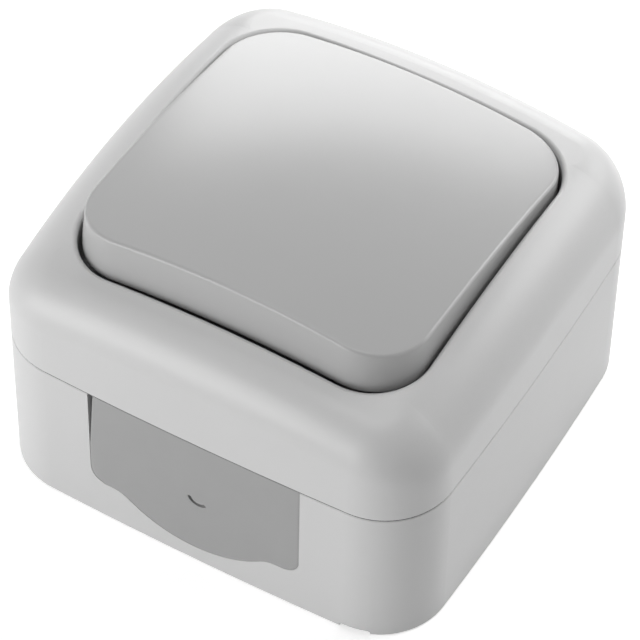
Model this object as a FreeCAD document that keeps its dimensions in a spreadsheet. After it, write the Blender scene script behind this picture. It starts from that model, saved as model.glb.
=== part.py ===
"""Surface-mounted weatherproof light switch with a large rocker.

Frame: X to the right, Y up the wall, Z out of the wall, in millimetres. The back of the
housing is the plane z = 0 and the housing is centred on X = Y = 0. The cable comes in through
the soft membrane in the lower wall, at -Y.
"""
import FreeCAD
import Part
import math
import os

import Sketcher

Vector = FreeCAD.Vector

# Driving dimensions, in millimetres and degrees
SIZES = {
    # Housing outline: a square with slightly bowed sides and round corners
    "housing_half": 34.0,
    "housing_corner": 10.4,
    "side_bow": 640.0,
    "wall": 2.2,
    "seam_height": 25.3,
    "seam_gap": 0.12,
    "seam_bevel": 0.15,
    "rear_rim": 0.9,
    "floor": 2.0,
    "foot_round": 0.5,
    # Tongue and gasket between the two halves of the housing
    "tongue": 1.0,
    "tongue_rise": 1.5,
    "gasket_height": 1.55,
    "gasket_play": 0.05,
    # Front cover: shallow dome, round shoulder and the well that the rocker sits in
    "dome_height": 44.07,
    "dome_sphere": 167.0,
    "shoulder_round": 6.4,
    "shoulder_side": 9.8,
    "rim_half": 26.4,
    "rim_corner": 9.1,
    "rim_bow": 2000.0,
    "rim_round": 0.6,
    "well_wall": 1.8,
    "deck_drop": 13.57,
    "deck": 2.0,
    # Cover screws, on one diagonal
    "cover_screw_at": 21.5,
    "pillar": 4.5,
    "cover_boss": 3.7,
    "boss_top": 24.8,
    "cover_shank": 1.75,
    "cover_head": 3.1,
    "cover_sink": 0.5,
    "seal_ring": 0.8,
    "head_height": 1.5,
    "screw_foot": 9.0,
    # Cable membrane in the lower wall
    "window_half": 16.5,
    "window_shoulder": 7.4,
    "window_round": 2.6,
    "bulge": 17.5,
    "bulge_at": 20.6,
    "bulge_neck": 4.0,
    "membrane_lip": 1.2,
    "membrane_lean": 0.8,
    "pierce_zone": 8.0,
    "pierce_at": 14.5,
    "pierce_skin": 1.0,
    "pierce_mark": 2.0,
    "pierce_mark_line": 0.4,
    "pierce_mark_x": 0.8,
    "pierce_mark_at": 14.2,
    "pierce_mark_depth": 0.3,
    # Holes for the two wall screws, and the drain notch in the foot
    "wall_hole": 2.2,
    "wall_slot": 4.0,
    "wall_hole_at": 20.0,
    "notch": 4.4,
    "notch_x": 25.0,
    # Rocker key
    "pivot_drop": 7.07,
    "tilt": 5.8,
    "key_gap": 0.55,
    "key_gap_corner": 0.5,
    "key_skirt": 1.4,
    "key_taper_rise": 2.7,
    "key_taper": 3.1,
    "key_proud": 2.69,
    "key_barrel_x": 133.0,
    "key_barrel_y": 199.0,
    "key_round": 0.3,
    "key_wall": 1.7,
    "key_roof": 1.8,
    "rib": 1.2,
    "rib_rise": 1.5,
    # Rocker carrier: drum on two trunnions, platform for the key, nose for the plunger
    "drum": 7.6,
    "drum_half": 11.5,
    "drum_play": 0.4,
    "trunnion": 2.0,
    "trunnion_play": 0.05,
    "platform_rise": 4.0,
    "platform": 1.6,
    "platform_x": 14.0,
    "platform_y": 12.0,
    "nose": 4.0,
    "nose_reach": 12.5,
    "bore": 2.55,
    "bore_rise": 3.0,
    "claw_x": 3.0,
    "claw_at": 9.6,
    "claw": 1.4,
    "claw_hook": 0.7,
    # Plunger and its spring
    "plunger": 2.45,
    "plunger_drop": 7.0,
    "plunger_tip": 20.0,
    "plunger_nose": 2.4,
    "spring_radius": 1.95,
    "spring_wire": 0.3,
    "spring_turns": 7.0,
    # Contact bridge, a strip that rocks on the common terminal
    "bridge_top": 19.92,
    "bridge": 1.0,
    "bridge_half": 2.4,
    "bridge_reach": 8.2,
    "bridge_swing": 6.0,
    "bridge_groove": 0.3,
    "bead": 0.3,
    "bead_play": 0.06,
    "contact_at": 6.8,
    "contact": 1.6,
    "contact_rise": 0.7,
    "contact_stem": 0.8,
    "contact_gap": 0.12,
    # Switch body
    "body_half_x": 12.5,
    "body_half_y": 20.4,
    "body_corner": 1.6,
    "body_foot": 10.5,
    "chamber_x": 4.5,
    "chamber_y": 10.5,
    "chamber_foot": 15.5,
    # Terminals, cage clamps and their screws
    "strip": 1.0,
    "strip_half": 2.5,
    "strip_end": 18.0,
    "common_end": 1.2,
    "live_end": 4.2,
    "clamp_half": 3.6,
    "clamp_near": 12.6,
    "clamp_far": 18.6,
    "clamp_foot": 12.2,
    "clamp_top": 20.2,
    "clamp_wall": 1.0,
    "clamp_roof": 1.8,
    "clamp_play": 0.2,
    "terminal_shank": 1.5,
    "terminal_head": 2.5,
    "terminal_head_at": 22.0,
    "terminal_head_height": 2.2,
    "wire_hole": 1.5,
    # Switch frame: plate, ears and collar with the trunnion bearings
    "plate_foot": 26.4,
    "plate": 1.6,
    "plate_half_x": 16.2,
    "plate_half_y": 20.4,
    "plate_corner": 3.6,
    "ear_half": 5.0,
    "ear_end": 27.8,
    "ear_screw_at": 24.0,
    "collar_x": 13.5,
    "collar_y": 11.5,
    "collar_wall": 1.6,
    "collar_corner": 1.5,
    "collar_rise": 2.3,
    "collar_notch": 1.1,
    "nose_way": 5.9,
    "hook_x": 8.0,
    "hook_half": 2.0,
    "hook_at": 17.2,
    "hook": 1.2,
    # Seal between the collar and the deck
    "seal_play": 0.2,
    "seal_width": 2.0,
    "deck_play": 0.6,
    # Mechanism screws
    "frame_boss": 3.5,
    "frame_shank": 1.5,
    "frame_head": 3.0,
    "frame_head_height": 1.8,
    "frame_screw_foot": 12.0,
    "screw_play": 0.05,
    "slot": 0.9,
    "slot_depth": 0.9,
}

# Heights that follow from the cover's, so that the rocker rises and sinks with the dome
LEVELS = {
    "deck_height": "dome_height - deck_drop",
    "cover_seat": "deck_height - cover_sink",
    "pivot_height": "dome_height - pivot_drop",
    "key_foot": "pivot_height - key_skirt",
    "key_taper_from": "pivot_height + key_taper_rise",
    "key_top": "dome_height + key_proud",
    "rib_foot": "pivot_height + rib_rise",
    "platform_foot": "pivot_height + platform_rise",
    "nose_foot": "pivot_height - nose_reach",
    "bore_top": "pivot_height + bore_rise",
    "plunger_top": "pivot_height - plunger_drop",
    "collar_top": "pivot_height + collar_rise",
}

doc = FreeCAD.newDocument("weatherproof_switch")

sheet = doc.addObject("Spreadsheet::Sheet", "Sizes")
for row, (alias, amount) in enumerate(SIZES.items(), start=1):
    sheet.set("A%d" % row, alias)
    sheet.set("B%d" % row, str(amount))
    sheet.setAlias("B%d" % row, alias)
doc.recompute()


# Values and expressions
def number(text):
    """Works out a short sum such as "housing_half - wall" or "a / 2 + b"."""
    total = 0.0
    sign = 1.0
    factor = None
    divide = False
    for word in text.split():
        if word in "+-":
            total += sign * factor
            sign = 1.0 if word == "+" else -1.0
            factor = None
        elif word in "*/":
            divide = word == "/"
        else:
            if word in LEVELS:
                amount = number(LEVELS[word])
            else:
                amount = SIZES[word] if word in SIZES else float(word)
            if factor is None:
                factor = amount
            else:
                factor = factor / amount if divide else factor * amount
    return total + sign * factor


def expression(text):
    """Turns the same short sum into an expression that reads the sheet."""
    words = []
    for word in text.split():
        if word in LEVELS:
            word = "(" + expression(LEVELS[word]) + ")"
        elif word in SIZES:
            word = "Sizes." + word
        words.append(word)
    return " ".join(words)


def bind(thing, prop, text):
    thing.setExpression(prop, expression(text))


def less(text, other):
    """One short sum less another."""
    flip = {"+": "-", "-": "+"}
    return text + " - " + " ".join(flip.get(word, word) for word in other.split())


def minus(text):
    """The negative of a short sum."""
    return less("0", text)


# Sketches
def origin_plane(body, role):
    return [item for item in body.Origin.OriginFeatures if item.Role == role][0]


def new_body(name):
    return doc.addObject("PartDesign::Body", name)


def new_sketch(body, name, role, x="0", y="0", z="0"):
    """A sketch on an origin plane, moved by x, y in the plane and by z along its normal."""
    sketch = body.newObject("Sketcher::SketchObject", name)
    sketch.AttachmentSupport = [(origin_plane(body, role), "")]
    sketch.MapMode = "FlatFace"
    bind(sketch, "AttachmentOffset.Base.x", x)
    bind(sketch, "AttachmentOffset.Base.y", y)
    bind(sketch, "AttachmentOffset.Base.z", z)
    return sketch


def bound(sketch, constraint, name, text):
    """Adds a dimension that follows a sum of the sheet's values."""
    index = sketch.addConstraint(constraint)
    sketch.renameConstraint(index, name)
    bind(sketch, "Constraints." + name, text)


def place_point(sketch, item, end, name, x, y):
    """Sets the place of one end of a line or arc from the sketch's origin."""
    bound(sketch, Sketcher.Constraint("DistanceX", -1, 1, item, end, number(x)), name + "_x", x)
    bound(sketch, Sketcher.Constraint("DistanceY", -1, 1, item, end, number(y)), name + "_y", y)


def polygon(sketch, points):
    """A closed outline of straight lines through points given as pairs of sums."""
    first = sketch.GeometryCount
    places = [Vector(number(x), number(y), 0) for x, y in points]
    count = len(points)
    for index in range(count):
        sketch.addGeometry(Part.LineSegment(places[index], places[(index + 1) % count]))
    for index in range(count):
        following = first + (index + 1) % count
        sketch.addConstraint(Sketcher.Constraint("Coincident", first + index, 2, following, 1))
    for index, (x, y) in enumerate(points):
        place_point(sketch, first + index, 1, "p%d" % (first + index), x, y)


def circle(sketch, radius):
    index = sketch.addGeometry(Part.Circle(Vector(0, 0, 0), Vector(0, 0, 1), number(radius)))
    sketch.addConstraint(Sketcher.Constraint("Coincident", index, 3, -1, 1))
    bound(sketch, Sketcher.Constraint("Radius", index, number(radius)), "r%d" % index, radius)


def arc(centre, radius, start, end):
    """An arc between two angles in degrees, anticlockwise."""
    whole = Part.Circle(centre, Vector(0, 0, 1), radius)
    return Part.ArcOfCircle(whole, math.radians(start), math.radians(end))


def bowed_square(sketch, half, corner, bow):
    """A square with bowed sides: four long arcs and four corner arcs, all tangent."""
    half_size = number(half)
    corner_radius = number(corner)
    bow_radius = number(bow)
    reach = bow_radius - half_size
    span = bow_radius - corner_radius
    corner_at = (math.sqrt(2 * span * span - reach * reach) - reach) / 2
    turn = math.degrees(math.atan2(corner_at, corner_at + reach))
    first = sketch.GeometryCount
    for quarter in range(4):
        angle = 90 * quarter
        side = FreeCAD.Rotation(Vector(0, 0, 1), angle).multVec(Vector(-reach, 0, 0))
        knee = FreeCAD.Rotation(Vector(0, 0, 1), angle).multVec(Vector(corner_at, corner_at, 0))
        sketch.addGeometry(arc(side, bow_radius, angle - turn, angle + turn))
        sketch.addGeometry(arc(knee, corner_radius, angle + turn, angle + 90 - turn))
    for index in range(8):
        following = first + (index + 1) % 8
        sketch.addConstraint(Sketcher.Constraint("Tangent", first + index, 2, following, 1))
    name = "s%d" % first
    bound(sketch, Sketcher.Constraint("Radius", first, bow_radius), name + "_bow", bow)
    bound(sketch, Sketcher.Constraint("Radius", first + 1, corner_radius), name + "_corner", corner)
    for index in (2, 4, 6):
        sketch.addConstraint(Sketcher.Constraint("Equal", first, first + index))
        sketch.addConstraint(Sketcher.Constraint("Equal", first + 1, first + 1 + index))
    for index, kind, axis, away in ((0, "DistanceX", -1, -1), (2, "DistanceY", -2, -1),
                                    (4, "DistanceX", -1, 1), (6, "DistanceY", -2, 1)):
        text = less(half, bow) if away < 0 else less(bow, half)
        distance = Sketcher.Constraint(kind, -1, 1, first + index, 3, away * reach)
        sketch.addConstraint(Sketcher.Constraint("PointOnObject", first + index, 3, axis))
        bound(sketch, distance, "%s_at%d" % (name, index), text)


def round_rectangle(sketch, half_x, half_y, corner):
    """A rectangle with round corners, centred on the sketch's origin."""
    wide = number(half_x)
    high = number(half_y)
    radius = number(corner)
    first = sketch.GeometryCount
    sketch.addGeometry(Part.LineSegment(Vector(wide, radius - high, 0), Vector(wide, high - radius, 0)))
    sketch.addGeometry(arc(Vector(wide - radius, high - radius, 0), radius, 0, 90))
    sketch.addGeometry(Part.LineSegment(Vector(wide - radius, high, 0), Vector(radius - wide, high, 0)))
    sketch.addGeometry(arc(Vector(radius - wide, high - radius, 0), radius, 90, 180))
    sketch.addGeometry(Part.LineSegment(Vector(-wide, high - radius, 0), Vector(-wide, radius - high, 0)))
    sketch.addGeometry(arc(Vector(radius - wide, radius - high, 0), radius, 180, 270))
    sketch.addGeometry(Part.LineSegment(Vector(radius - wide, -high, 0), Vector(wide - radius, -high, 0)))
    sketch.addGeometry(arc(Vector(wide - radius, radius - high, 0), radius, 270, 360))
    for index in range(8):
        following = first + (index + 1) % 8
        sketch.addConstraint(Sketcher.Constraint("Tangent", first + index, 2, following, 1))
    for index in (0, 4):
        sketch.addConstraint(Sketcher.Constraint("Vertical", first + index))
        sketch.addConstraint(Sketcher.Constraint("Horizontal", first + index + 2))
    for index in (3, 5, 7):
        sketch.addConstraint(Sketcher.Constraint("Equal", first + 1, first + index))
    name = "q%d" % first
    bound(sketch, Sketcher.Constraint("Radius", first + 1, radius), name + "_corner", corner)
    for index, kind, place, text in ((0, "DistanceX", wide, half_x), (2, "DistanceY", high, half_y),
                                     (4, "DistanceX", -wide, minus(half_x)),
                                     (6, "DistanceY", -high, minus(half_y))):
        distance = Sketcher.Constraint(kind, -1, 1, first + index, 1, place)
        bound(sketch, distance, "%s_side%d" % (name, index), text)


def under_arc(sketch, top, radius, half, ceiling, whole=True):
    """The area above an arc whose crown is on the vertical axis, or its right-hand half."""
    crown = number(top)
    sweep = number(radius)
    wide = number(half)
    roof = number(ceiling)
    left = -wide if whole else 0.0
    turn = math.degrees(math.asin(wide / sweep))
    edge = crown - sweep + math.sqrt(sweep * sweep - wide * wide)
    left_edge = edge if whole else crown
    sketch.addGeometry(arc(Vector(0, crown - sweep, 0), sweep, 90 - turn, 90 + turn if whole else 90))
    sketch.addGeometry(Part.LineSegment(Vector(left, left_edge, 0), Vector(left, roof, 0)))
    sketch.addGeometry(Part.LineSegment(Vector(left, roof, 0), Vector(wide, roof, 0)))
    sketch.addGeometry(Part.LineSegment(Vector(wide, roof, 0), Vector(wide, edge, 0)))
    for index in range(4):
        sketch.addConstraint(Sketcher.Constraint("Coincident", index, 2, (index + 1) % 4, 1))
    sketch.addConstraint(Sketcher.Constraint("Vertical", 1))
    sketch.addConstraint(Sketcher.Constraint("Horizontal", 2))
    sketch.addConstraint(Sketcher.Constraint("Vertical", 3))
    sketch.addConstraint(Sketcher.Constraint("PointOnObject", 0, 3, -2))
    bound(sketch, Sketcher.Constraint("Radius", 0, sweep), "sweep", radius)
    height = Sketcher.Constraint("DistanceY", -1, 1, 0, 3, crown - sweep)
    bound(sketch, height, "centre", less(top, radius))
    place_point(sketch, 2, 1, "left", minus(half) if whole else "0", ceiling)
    bound(sketch, Sketcher.Constraint("DistanceX", -1, 1, 2, 2, wide), "right", half)


def membrane_outline(sketch, half, shoulder):
    """Window of the cable membrane: straight sides, round shoulders and a bulge below."""
    wide = number(half)
    ledge = number(shoulder)
    turn = number("window_round")
    big = number("bulge")
    centre = number("bulge_at")
    neck = number("bulge_neck")
    top = number("seam_height + tongue_rise")
    neck_x = math.sqrt((big + neck) ** 2 - (centre - ledge + neck) ** 2)
    lean = math.degrees(math.atan2(centre - ledge + neck, neck_x))
    sketch.addGeometry(Part.LineSegment(Vector(wide, top, 0), Vector(-wide, top, 0)))
    sketch.addGeometry(Part.LineSegment(Vector(-wide, top, 0), Vector(-wide, ledge + turn, 0)))
    sketch.addGeometry(arc(Vector(turn - wide, ledge + turn, 0), turn, 180, 270))
    sketch.addGeometry(Part.LineSegment(Vector(turn - wide, ledge, 0), Vector(-neck_x, ledge, 0)))
    sketch.addGeometry(arc(Vector(-neck_x, ledge - neck, 0), neck, lean, 90))
    sketch.addGeometry(arc(Vector(0, centre, 0), big, 180 + lean, 360 - lean))
    sketch.addGeometry(arc(Vector(neck_x, ledge - neck, 0), neck, 90, 180 - lean))
    sketch.addGeometry(Part.LineSegment(Vector(neck_x, ledge, 0), Vector(wide - turn, ledge, 0)))
    sketch.addGeometry(arc(Vector(wide - turn, ledge + turn, 0), turn, 270, 360))
    sketch.addGeometry(Part.LineSegment(Vector(wide, ledge + turn, 0), Vector(wide, top, 0)))
    joins = ((1, 2, 2, 1), (2, 2, 3, 1), (3, 2, 4, 2), (4, 1, 5, 1), (5, 2, 6, 2), (6, 1, 7, 1),
             (7, 2, 8, 1), (8, 2, 9, 1))
    for join in joins:
        sketch.addConstraint(Sketcher.Constraint("Tangent", *join))
    sketch.addConstraint(Sketcher.Constraint("Coincident", 0, 2, 1, 1))
    sketch.addConstraint(Sketcher.Constraint("Coincident", 9, 2, 0, 1))
    for line in (0, 3, 7):
        sketch.addConstraint(Sketcher.Constraint("Horizontal", line))
    for line in (1, 9):
        sketch.addConstraint(Sketcher.Constraint("Vertical", line))
    sketch.addConstraint(Sketcher.Constraint("Equal", 2, 8))
    sketch.addConstraint(Sketcher.Constraint("Equal", 4, 6))
    sketch.addConstraint(Sketcher.Constraint("PointOnObject", 5, 3, -2))
    bound(sketch, Sketcher.Constraint("Radius", 2, turn), "turn", "window_round")
    bound(sketch, Sketcher.Constraint("Radius", 4, neck), "neck", "bulge_neck")
    bound(sketch, Sketcher.Constraint("Radius", 5, big), "bulge", "bulge")
    bound(sketch, Sketcher.Constraint("DistanceY", -1, 1, 5, 3, centre), "centre", "bulge_at")
    place_point(sketch, 0, 1, "top", half, "seam_height + tongue_rise")
    bound(sketch, Sketcher.Constraint("DistanceX", -1, 1, 0, 2, -wide), "left", minus(half))
    bound(sketch, Sketcher.Constraint("DistanceY", -1, 1, 3, 1, ledge), "ledge_a", shoulder)
    bound(sketch, Sketcher.Constraint("DistanceY", -1, 1, 7, 1, ledge), "ledge_b", shoulder)


# Features of a body
def pad(body, sketch, length, back=False, taper=None):
    feature = body.newObject("PartDesign::Pad", sketch.Name + "_pad")
    feature.Profile = sketch
    feature.Reversed = back
    bind(feature, "Length", length)
    if taper:
        bind(feature, "TaperAngle", taper)
    sketch.Visibility = False
    return feature


def pocket(body, sketch, length, forward=False):
    """A pocket against the sketch's normal, or along it with forward."""
    feature = body.newObject("PartDesign::Pocket", sketch.Name + "_pocket")
    feature.Profile = sketch
    feature.Reversed = forward
    bind(feature, "Length", length)
    sketch.Visibility = False
    return feature


def turned(body, sketch, kind, axis="V_Axis", angle=360.0):
    """A revolution or groove of a sketch about one of its own axes, equally to both sides."""
    feature = body.newObject("PartDesign::" + kind, sketch.Name + "_turned")
    feature.Profile = sketch
    feature.ReferenceAxis = (sketch, [axis])
    feature.Midplane = angle < 360.0
    feature.Angle = angle
    sketch.Visibility = False
    return feature


def edge_names(shape, test):
    """Names of the edges whose bounding box passes a test."""
    return ["Edge%d" % (index + 1) for index, edge in enumerate(shape.Edges) if test(edge.BoundBox)]


def dress(body, kind, base, test, prop, size):
    """A fillet or chamfer on the edges of a feature that pass a test."""
    doc.recompute()
    names = edge_names(base.Shape, test)
    if not names:
        raise ValueError("no edge to dress in " + body.Name)
    feature = body.newObject("PartDesign::" + kind, "%s_%s%d" % (body.Name, kind, len(body.Group)))
    feature.Base = (base, names)
    bind(feature, prop, size)
    return feature


def level(box, height, slack=0.02):
    """True for an edge that lies flat at a height."""
    return abs(box.ZMin - height) < slack and abs(box.ZMax - height) < slack


def spread(box):
    """The furthest that an edge reaches from the middle, in X or in Y."""
    return max(abs(box.XMin), abs(box.XMax), abs(box.YMin), abs(box.YMax))


# Plain solids and booleans
def block(name, x, y, z):
    """A box between two sums on each axis."""
    item = doc.addObject("Part::Box", name)
    for prop, (low, high) in zip(("Length", "Width", "Height"), (x, y, z)):
        bind(item, prop, less(high, low))
    for axis, (low, high) in zip("xyz", (x, y, z)):
        bind(item, "Placement.Base." + axis, low)
    return item


def rod(name, radius, length, x="0", y="0", z="0", axis="Z"):
    """A cylinder from a point along +X, +Y or +Z."""
    item = doc.addObject("Part::Cylinder", name)
    bind(item, "Radius", radius)
    bind(item, "Height", length)
    turns = {"X": (Vector(0, 1, 0), 90), "Y": (Vector(1, 0, 0), -90), "Z": (Vector(0, 0, 1), 0)}
    item.Placement.Rotation = FreeCAD.Rotation(*turns[axis])
    for direction, text in zip("xyz", (x, y, z)):
        bind(item, "Placement.Base." + direction, text)
    return item


def fuse(name, items):
    whole = doc.addObject("Part::MultiFuse", name)
    whole.Shapes = items
    whole.Refine = True
    return whole


def cut(name, base, tools):
    whole = doc.addObject("Part::Cut", name)
    whole.Base = base
    whole.Tool = tools[0] if len(tools) == 1 else fuse(name + "_tools", tools)
    whole.Refine = True
    return whole


def common(name, first, second):
    whole = doc.addObject("Part::Common", name)
    whole.Base = first
    whole.Tool = second
    return whole


def rounded(name, base, radii):
    """Rounds edges of a solid; radii gives the radius at each end of an edge, or None."""
    doc.recompute()
    edges = []
    for index, edge in enumerate(base.Shape.Edges):
        ends = radii(edge)
        if ends:
            edges.append((index + 1, ends[0], ends[1]))
    item = doc.addObject("Part::Fillet", name)
    item.Base = base
    item.Edges = edges
    return item


nodes = []


def finished(label, item, placement=None):
    """Names a finished sub-part and puts it in its place."""
    item.Label = label
    if placement:
        item.Placement = placement
    nodes.append(item)


# Poses of the pieces that stand tilted at rest
def turned_about_x(height, angle):
    centre = Vector(0, 0, height)
    return FreeCAD.Placement(Vector(0, 0, 0), FreeCAD.Rotation(Vector(1, 0, 0), angle), centre)


rocker_rest = turned_about_x(number("pivot_height"), -SIZES["tilt"])
bridge_axis = number("bridge_top - bridge + bridge_groove")
bridge_rest = turned_about_x(bridge_axis, SIZES["bridge_swing"])

CAVITY = ("housing_half - wall", "housing_corner - wall", "side_bow - wall")
COVER_SCREWS = ((1, -1), (-1, 1))


def offset_outline(sketch, inward):
    """The housing's outline, moved inward by a sum."""
    bowed_square(sketch, less("housing_half", inward), less("housing_corner", inward),
                 less("side_bow", inward))


# Back box
def back_box():
    body = new_body("back_box_body")
    outline = new_sketch(body, "box_outline", "XY_Plane")
    bowed_square(outline, "housing_half", "housing_corner", "side_bow")
    pad(body, outline, "seam_height")

    hollow = new_sketch(body, "box_hollow", "XY_Plane", z="seam_height")
    bowed_square(hollow, *CAVITY)
    pocket(body, hollow, "seam_height - rear_rim - floor")

    rear = new_sketch(body, "box_rear", "XY_Plane")
    bowed_square(rear, *CAVITY)
    base = pocket(body, rear, "rear_rim", forward=True)

    seam = SIZES["seam_height"]
    outside = number("housing_half - wall / 2")
    bevelled = dress(body, "Chamfer", base,
                     lambda box: level(box, seam) and spread(box) > outside, "Size", "seam_bevel")
    dress(body, "Fillet", bevelled,
          lambda box: level(box, 0.0) and spread(box) > outside, "Radius", "foot_round")

    ridge = new_sketch(body, "box_tongue", "XY_Plane", z="seam_height")
    offset_outline(ridge, "wall - tongue")
    bowed_square(ridge, *CAVITY)
    pad(body, ridge, "tongue_rise")

    notch = new_sketch(body, "box_notch", "XZ_Plane", x="notch_x")
    round_rectangle(notch, "notch / 2", "rear_rim", "rear_rim / 2")
    pocket(body, notch, "housing_half + 1", forward=True)

    solids = [body]
    bores = []
    for index, (right, up) in enumerate(COVER_SCREWS):
        x = "cover_screw_at" if right > 0 else minus("cover_screw_at")
        y = "cover_screw_at" if up > 0 else minus("cover_screw_at")
        solids.append(rod("cover_boss%d" % index, "cover_boss", "boss_top - rear_rim - floor / 2",
                          x, y, "rear_rim + floor / 2"))
        bores.append(rod("cover_bore%d" % index, "cover_shank + screw_play",
                         "boss_top - screw_foot + 2", x, y, "screw_foot - 1"))
    for index, side in enumerate(("ear_screw_at", minus("ear_screw_at"))):
        solids.append(rod("frame_boss%d" % index, "frame_boss",
                          "plate_foot - rear_rim - floor / 2", side, "0", "rear_rim + floor / 2"))
        bores.append(rod("frame_bore%d" % index, "frame_shank + screw_play",
                         "plate_foot - frame_screw_foot + 2", side, "0", "frame_screw_foot - 1"))
        web = ("ear_screw_at + frame_boss / 2", "housing_half - wall / 2")
        if index:
            web = (minus(web[1]), minus(web[0]))
        solids.append(block("frame_web%d" % index, web, ("0 - rib / 2", "rib / 2"),
                            ("rear_rim + floor / 2", "seam_height - tongue_rise")))
    window = new_body("window_body")
    opening = new_sketch(window, "window_outline", "XZ_Plane", z="housing_half - wall - 2")
    membrane_outline(opening, "window_half", "window_shoulder")
    pad(window, opening, "wall + 4")
    bores.append(window)
    for index, y in enumerate(("wall_hole_at", minus("wall_hole_at"))):
        hole = new_body("wall_hole%d" % index)
        slot = new_sketch(hole, "wall_slot%d" % index, "XY_Plane", "0", y)
        round_rectangle(slot, "wall_hole", "wall_hole + wall_slot / 2", "wall_hole - 0.01")
        pad(hole, slot, "rear_rim + floor + 1")
        bores.append(hole)
    finished("back_box", cut("back_box_shape", fuse("box_solids", solids), bores))


# Cable membrane
def cable_membrane():
    """A soft plug that fills the window flush with the wall, with a lip inside the box."""
    ring = new_body("membrane_ring")
    outline = new_sketch(ring, "membrane_wall", "XY_Plane")
    bowed_square(outline, "housing_half", "housing_corner", "side_bow")
    bowed_square(outline, *CAVITY)
    pad(ring, outline, "seam_height")
    ridge = new_sketch(ring, "membrane_tongue", "XY_Plane", z="seam_height")
    offset_outline(ridge, "wall - tongue")
    bowed_square(ridge, *CAVITY)
    pad(ring, ridge, "tongue_rise")

    plug = new_body("membrane_plug")
    window = new_sketch(plug, "membrane_window", "XZ_Plane", z="housing_half - wall - 2")
    membrane_outline(window, "window_half", "window_shoulder")
    pad(plug, window, "wall + 4")
    lean = new_sketch(plug, "membrane_lean_cut", "XZ_Plane", z="housing_half - wall - 2")
    polygon(lean, ((minus("window_half + 1"), "seam_height + tongue_rise + 1"),
                   (minus("window_half + 1"), "pierce_at"), (minus("window_half"), "pierce_at"),
                   (minus("window_half - membrane_lean"), "seam_height"),
                   (minus("window_half - membrane_lean"), "seam_height + tongue_rise + 1")))
    pocket(plug, lean, "wall + 5", forward=True)
    face = common("membrane_face", ring, plug)

    lip = new_body("membrane_lip_body")
    flange = new_sketch(lip, "membrane_flange", "XZ_Plane", z="housing_half - wall - 3")
    membrane_outline(flange, "window_half + membrane_lip", "window_shoulder - membrane_lip")
    pad(lip, flange, "4")
    inside = new_body("membrane_inside")
    cavity = new_sketch(inside, "membrane_cavity", "XY_Plane")
    offset_outline(cavity, "wall")
    offset_outline(cavity, "wall + membrane_lip")
    pad(inside, cavity, "seam_height - 0.5")
    seat = common("membrane_seat", lip, inside)

    thin = rod("membrane_thin", "pierce_zone", "wall + membrane_lip", "0",
               "pierce_skin - housing_half + 0.2", "pierce_at", axis="Y")
    mark_x = ("pierce_mark_x", minus("housing_half + 1"), "pierce_mark_at")
    outer = rod("pierce_mark_outer", "pierce_mark + pierce_mark_line / 2", "1 + pierce_mark_depth",
                *mark_x, axis="Y")
    inner = rod("pierce_mark_inner", "pierce_mark - pierce_mark_line / 2", "2 + pierce_mark_depth",
                *mark_x, axis="Y")
    corner = block("pierce_mark_side", ("0 - pierce_mark", "pierce_mark_x + pierce_mark / 2"),
                   (minus("housing_half + 2"), "0 - housing_half + 2"),
                   ("pierce_mark_at - pierce_mark - 1", "pierce_mark_at + 0.3"))
    mark = common("pierce_mark_arc", cut("pierce_mark_ring", outer, [inner]), corner)
    solids = fuse("membrane_solids", [face, seat])
    finished("cable_membrane", cut("membrane_shape", solids, [thin, mark]))


# Housing gasket
def housing_gasket():
    body = new_body("housing_gasket_body")
    ring = new_sketch(body, "gasket_ring", "XY_Plane", z="seam_height + tongue_rise")
    offset_outline(ring, "wall - tongue - gasket_play")
    offset_outline(ring, "wall - gasket_play")
    pad(body, ring, "gasket_height")
    finished("housing_gasket", body)


# Front cover
def domed_form(name, inward, foot, bevel=None):
    """The cover's outer form, or the form of its hollow one wall further in.

    The shoulder is rounder along the two sides in X than along the two in Y, and its radius
    runs from one to the other round each corner.
    """
    body = new_body(name)
    outline = new_sketch(body, name + "_outline", "XY_Plane", z=foot)
    offset_outline(outline, inward)
    pad(body, outline, less("dome_height + 2", foot))
    dome = new_sketch(body, name + "_dome", "XZ_Plane")
    under_arc(dome, less("dome_height", inward), less("dome_sphere", inward), "housing_half + 25",
              "dome_height + 10", whole=False)
    domed = turned(body, dome, "Groove")
    if bevel:
        low = number(foot)
        dress(body, "Chamfer", domed, lambda box: level(box, low), "Size", bevel)
    top_edge = number(less("dome_height", inward)) - 9.0
    side = number(less("shoulder_side", inward))
    front = number(less("shoulder_round", inward))

    def radii(edge):
        if edge.BoundBox.ZMin < top_edge:
            return None
        start, end = [edge.valueAt(place) for place in (edge.FirstParameter, edge.LastParameter)]
        ends = [start, end] if start.cross(end).z > 0 else [end, start]
        return [side if abs(point.x) > abs(point.y) else front for point in ends]

    return rounded(name + "_rounded", body, radii)


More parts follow.
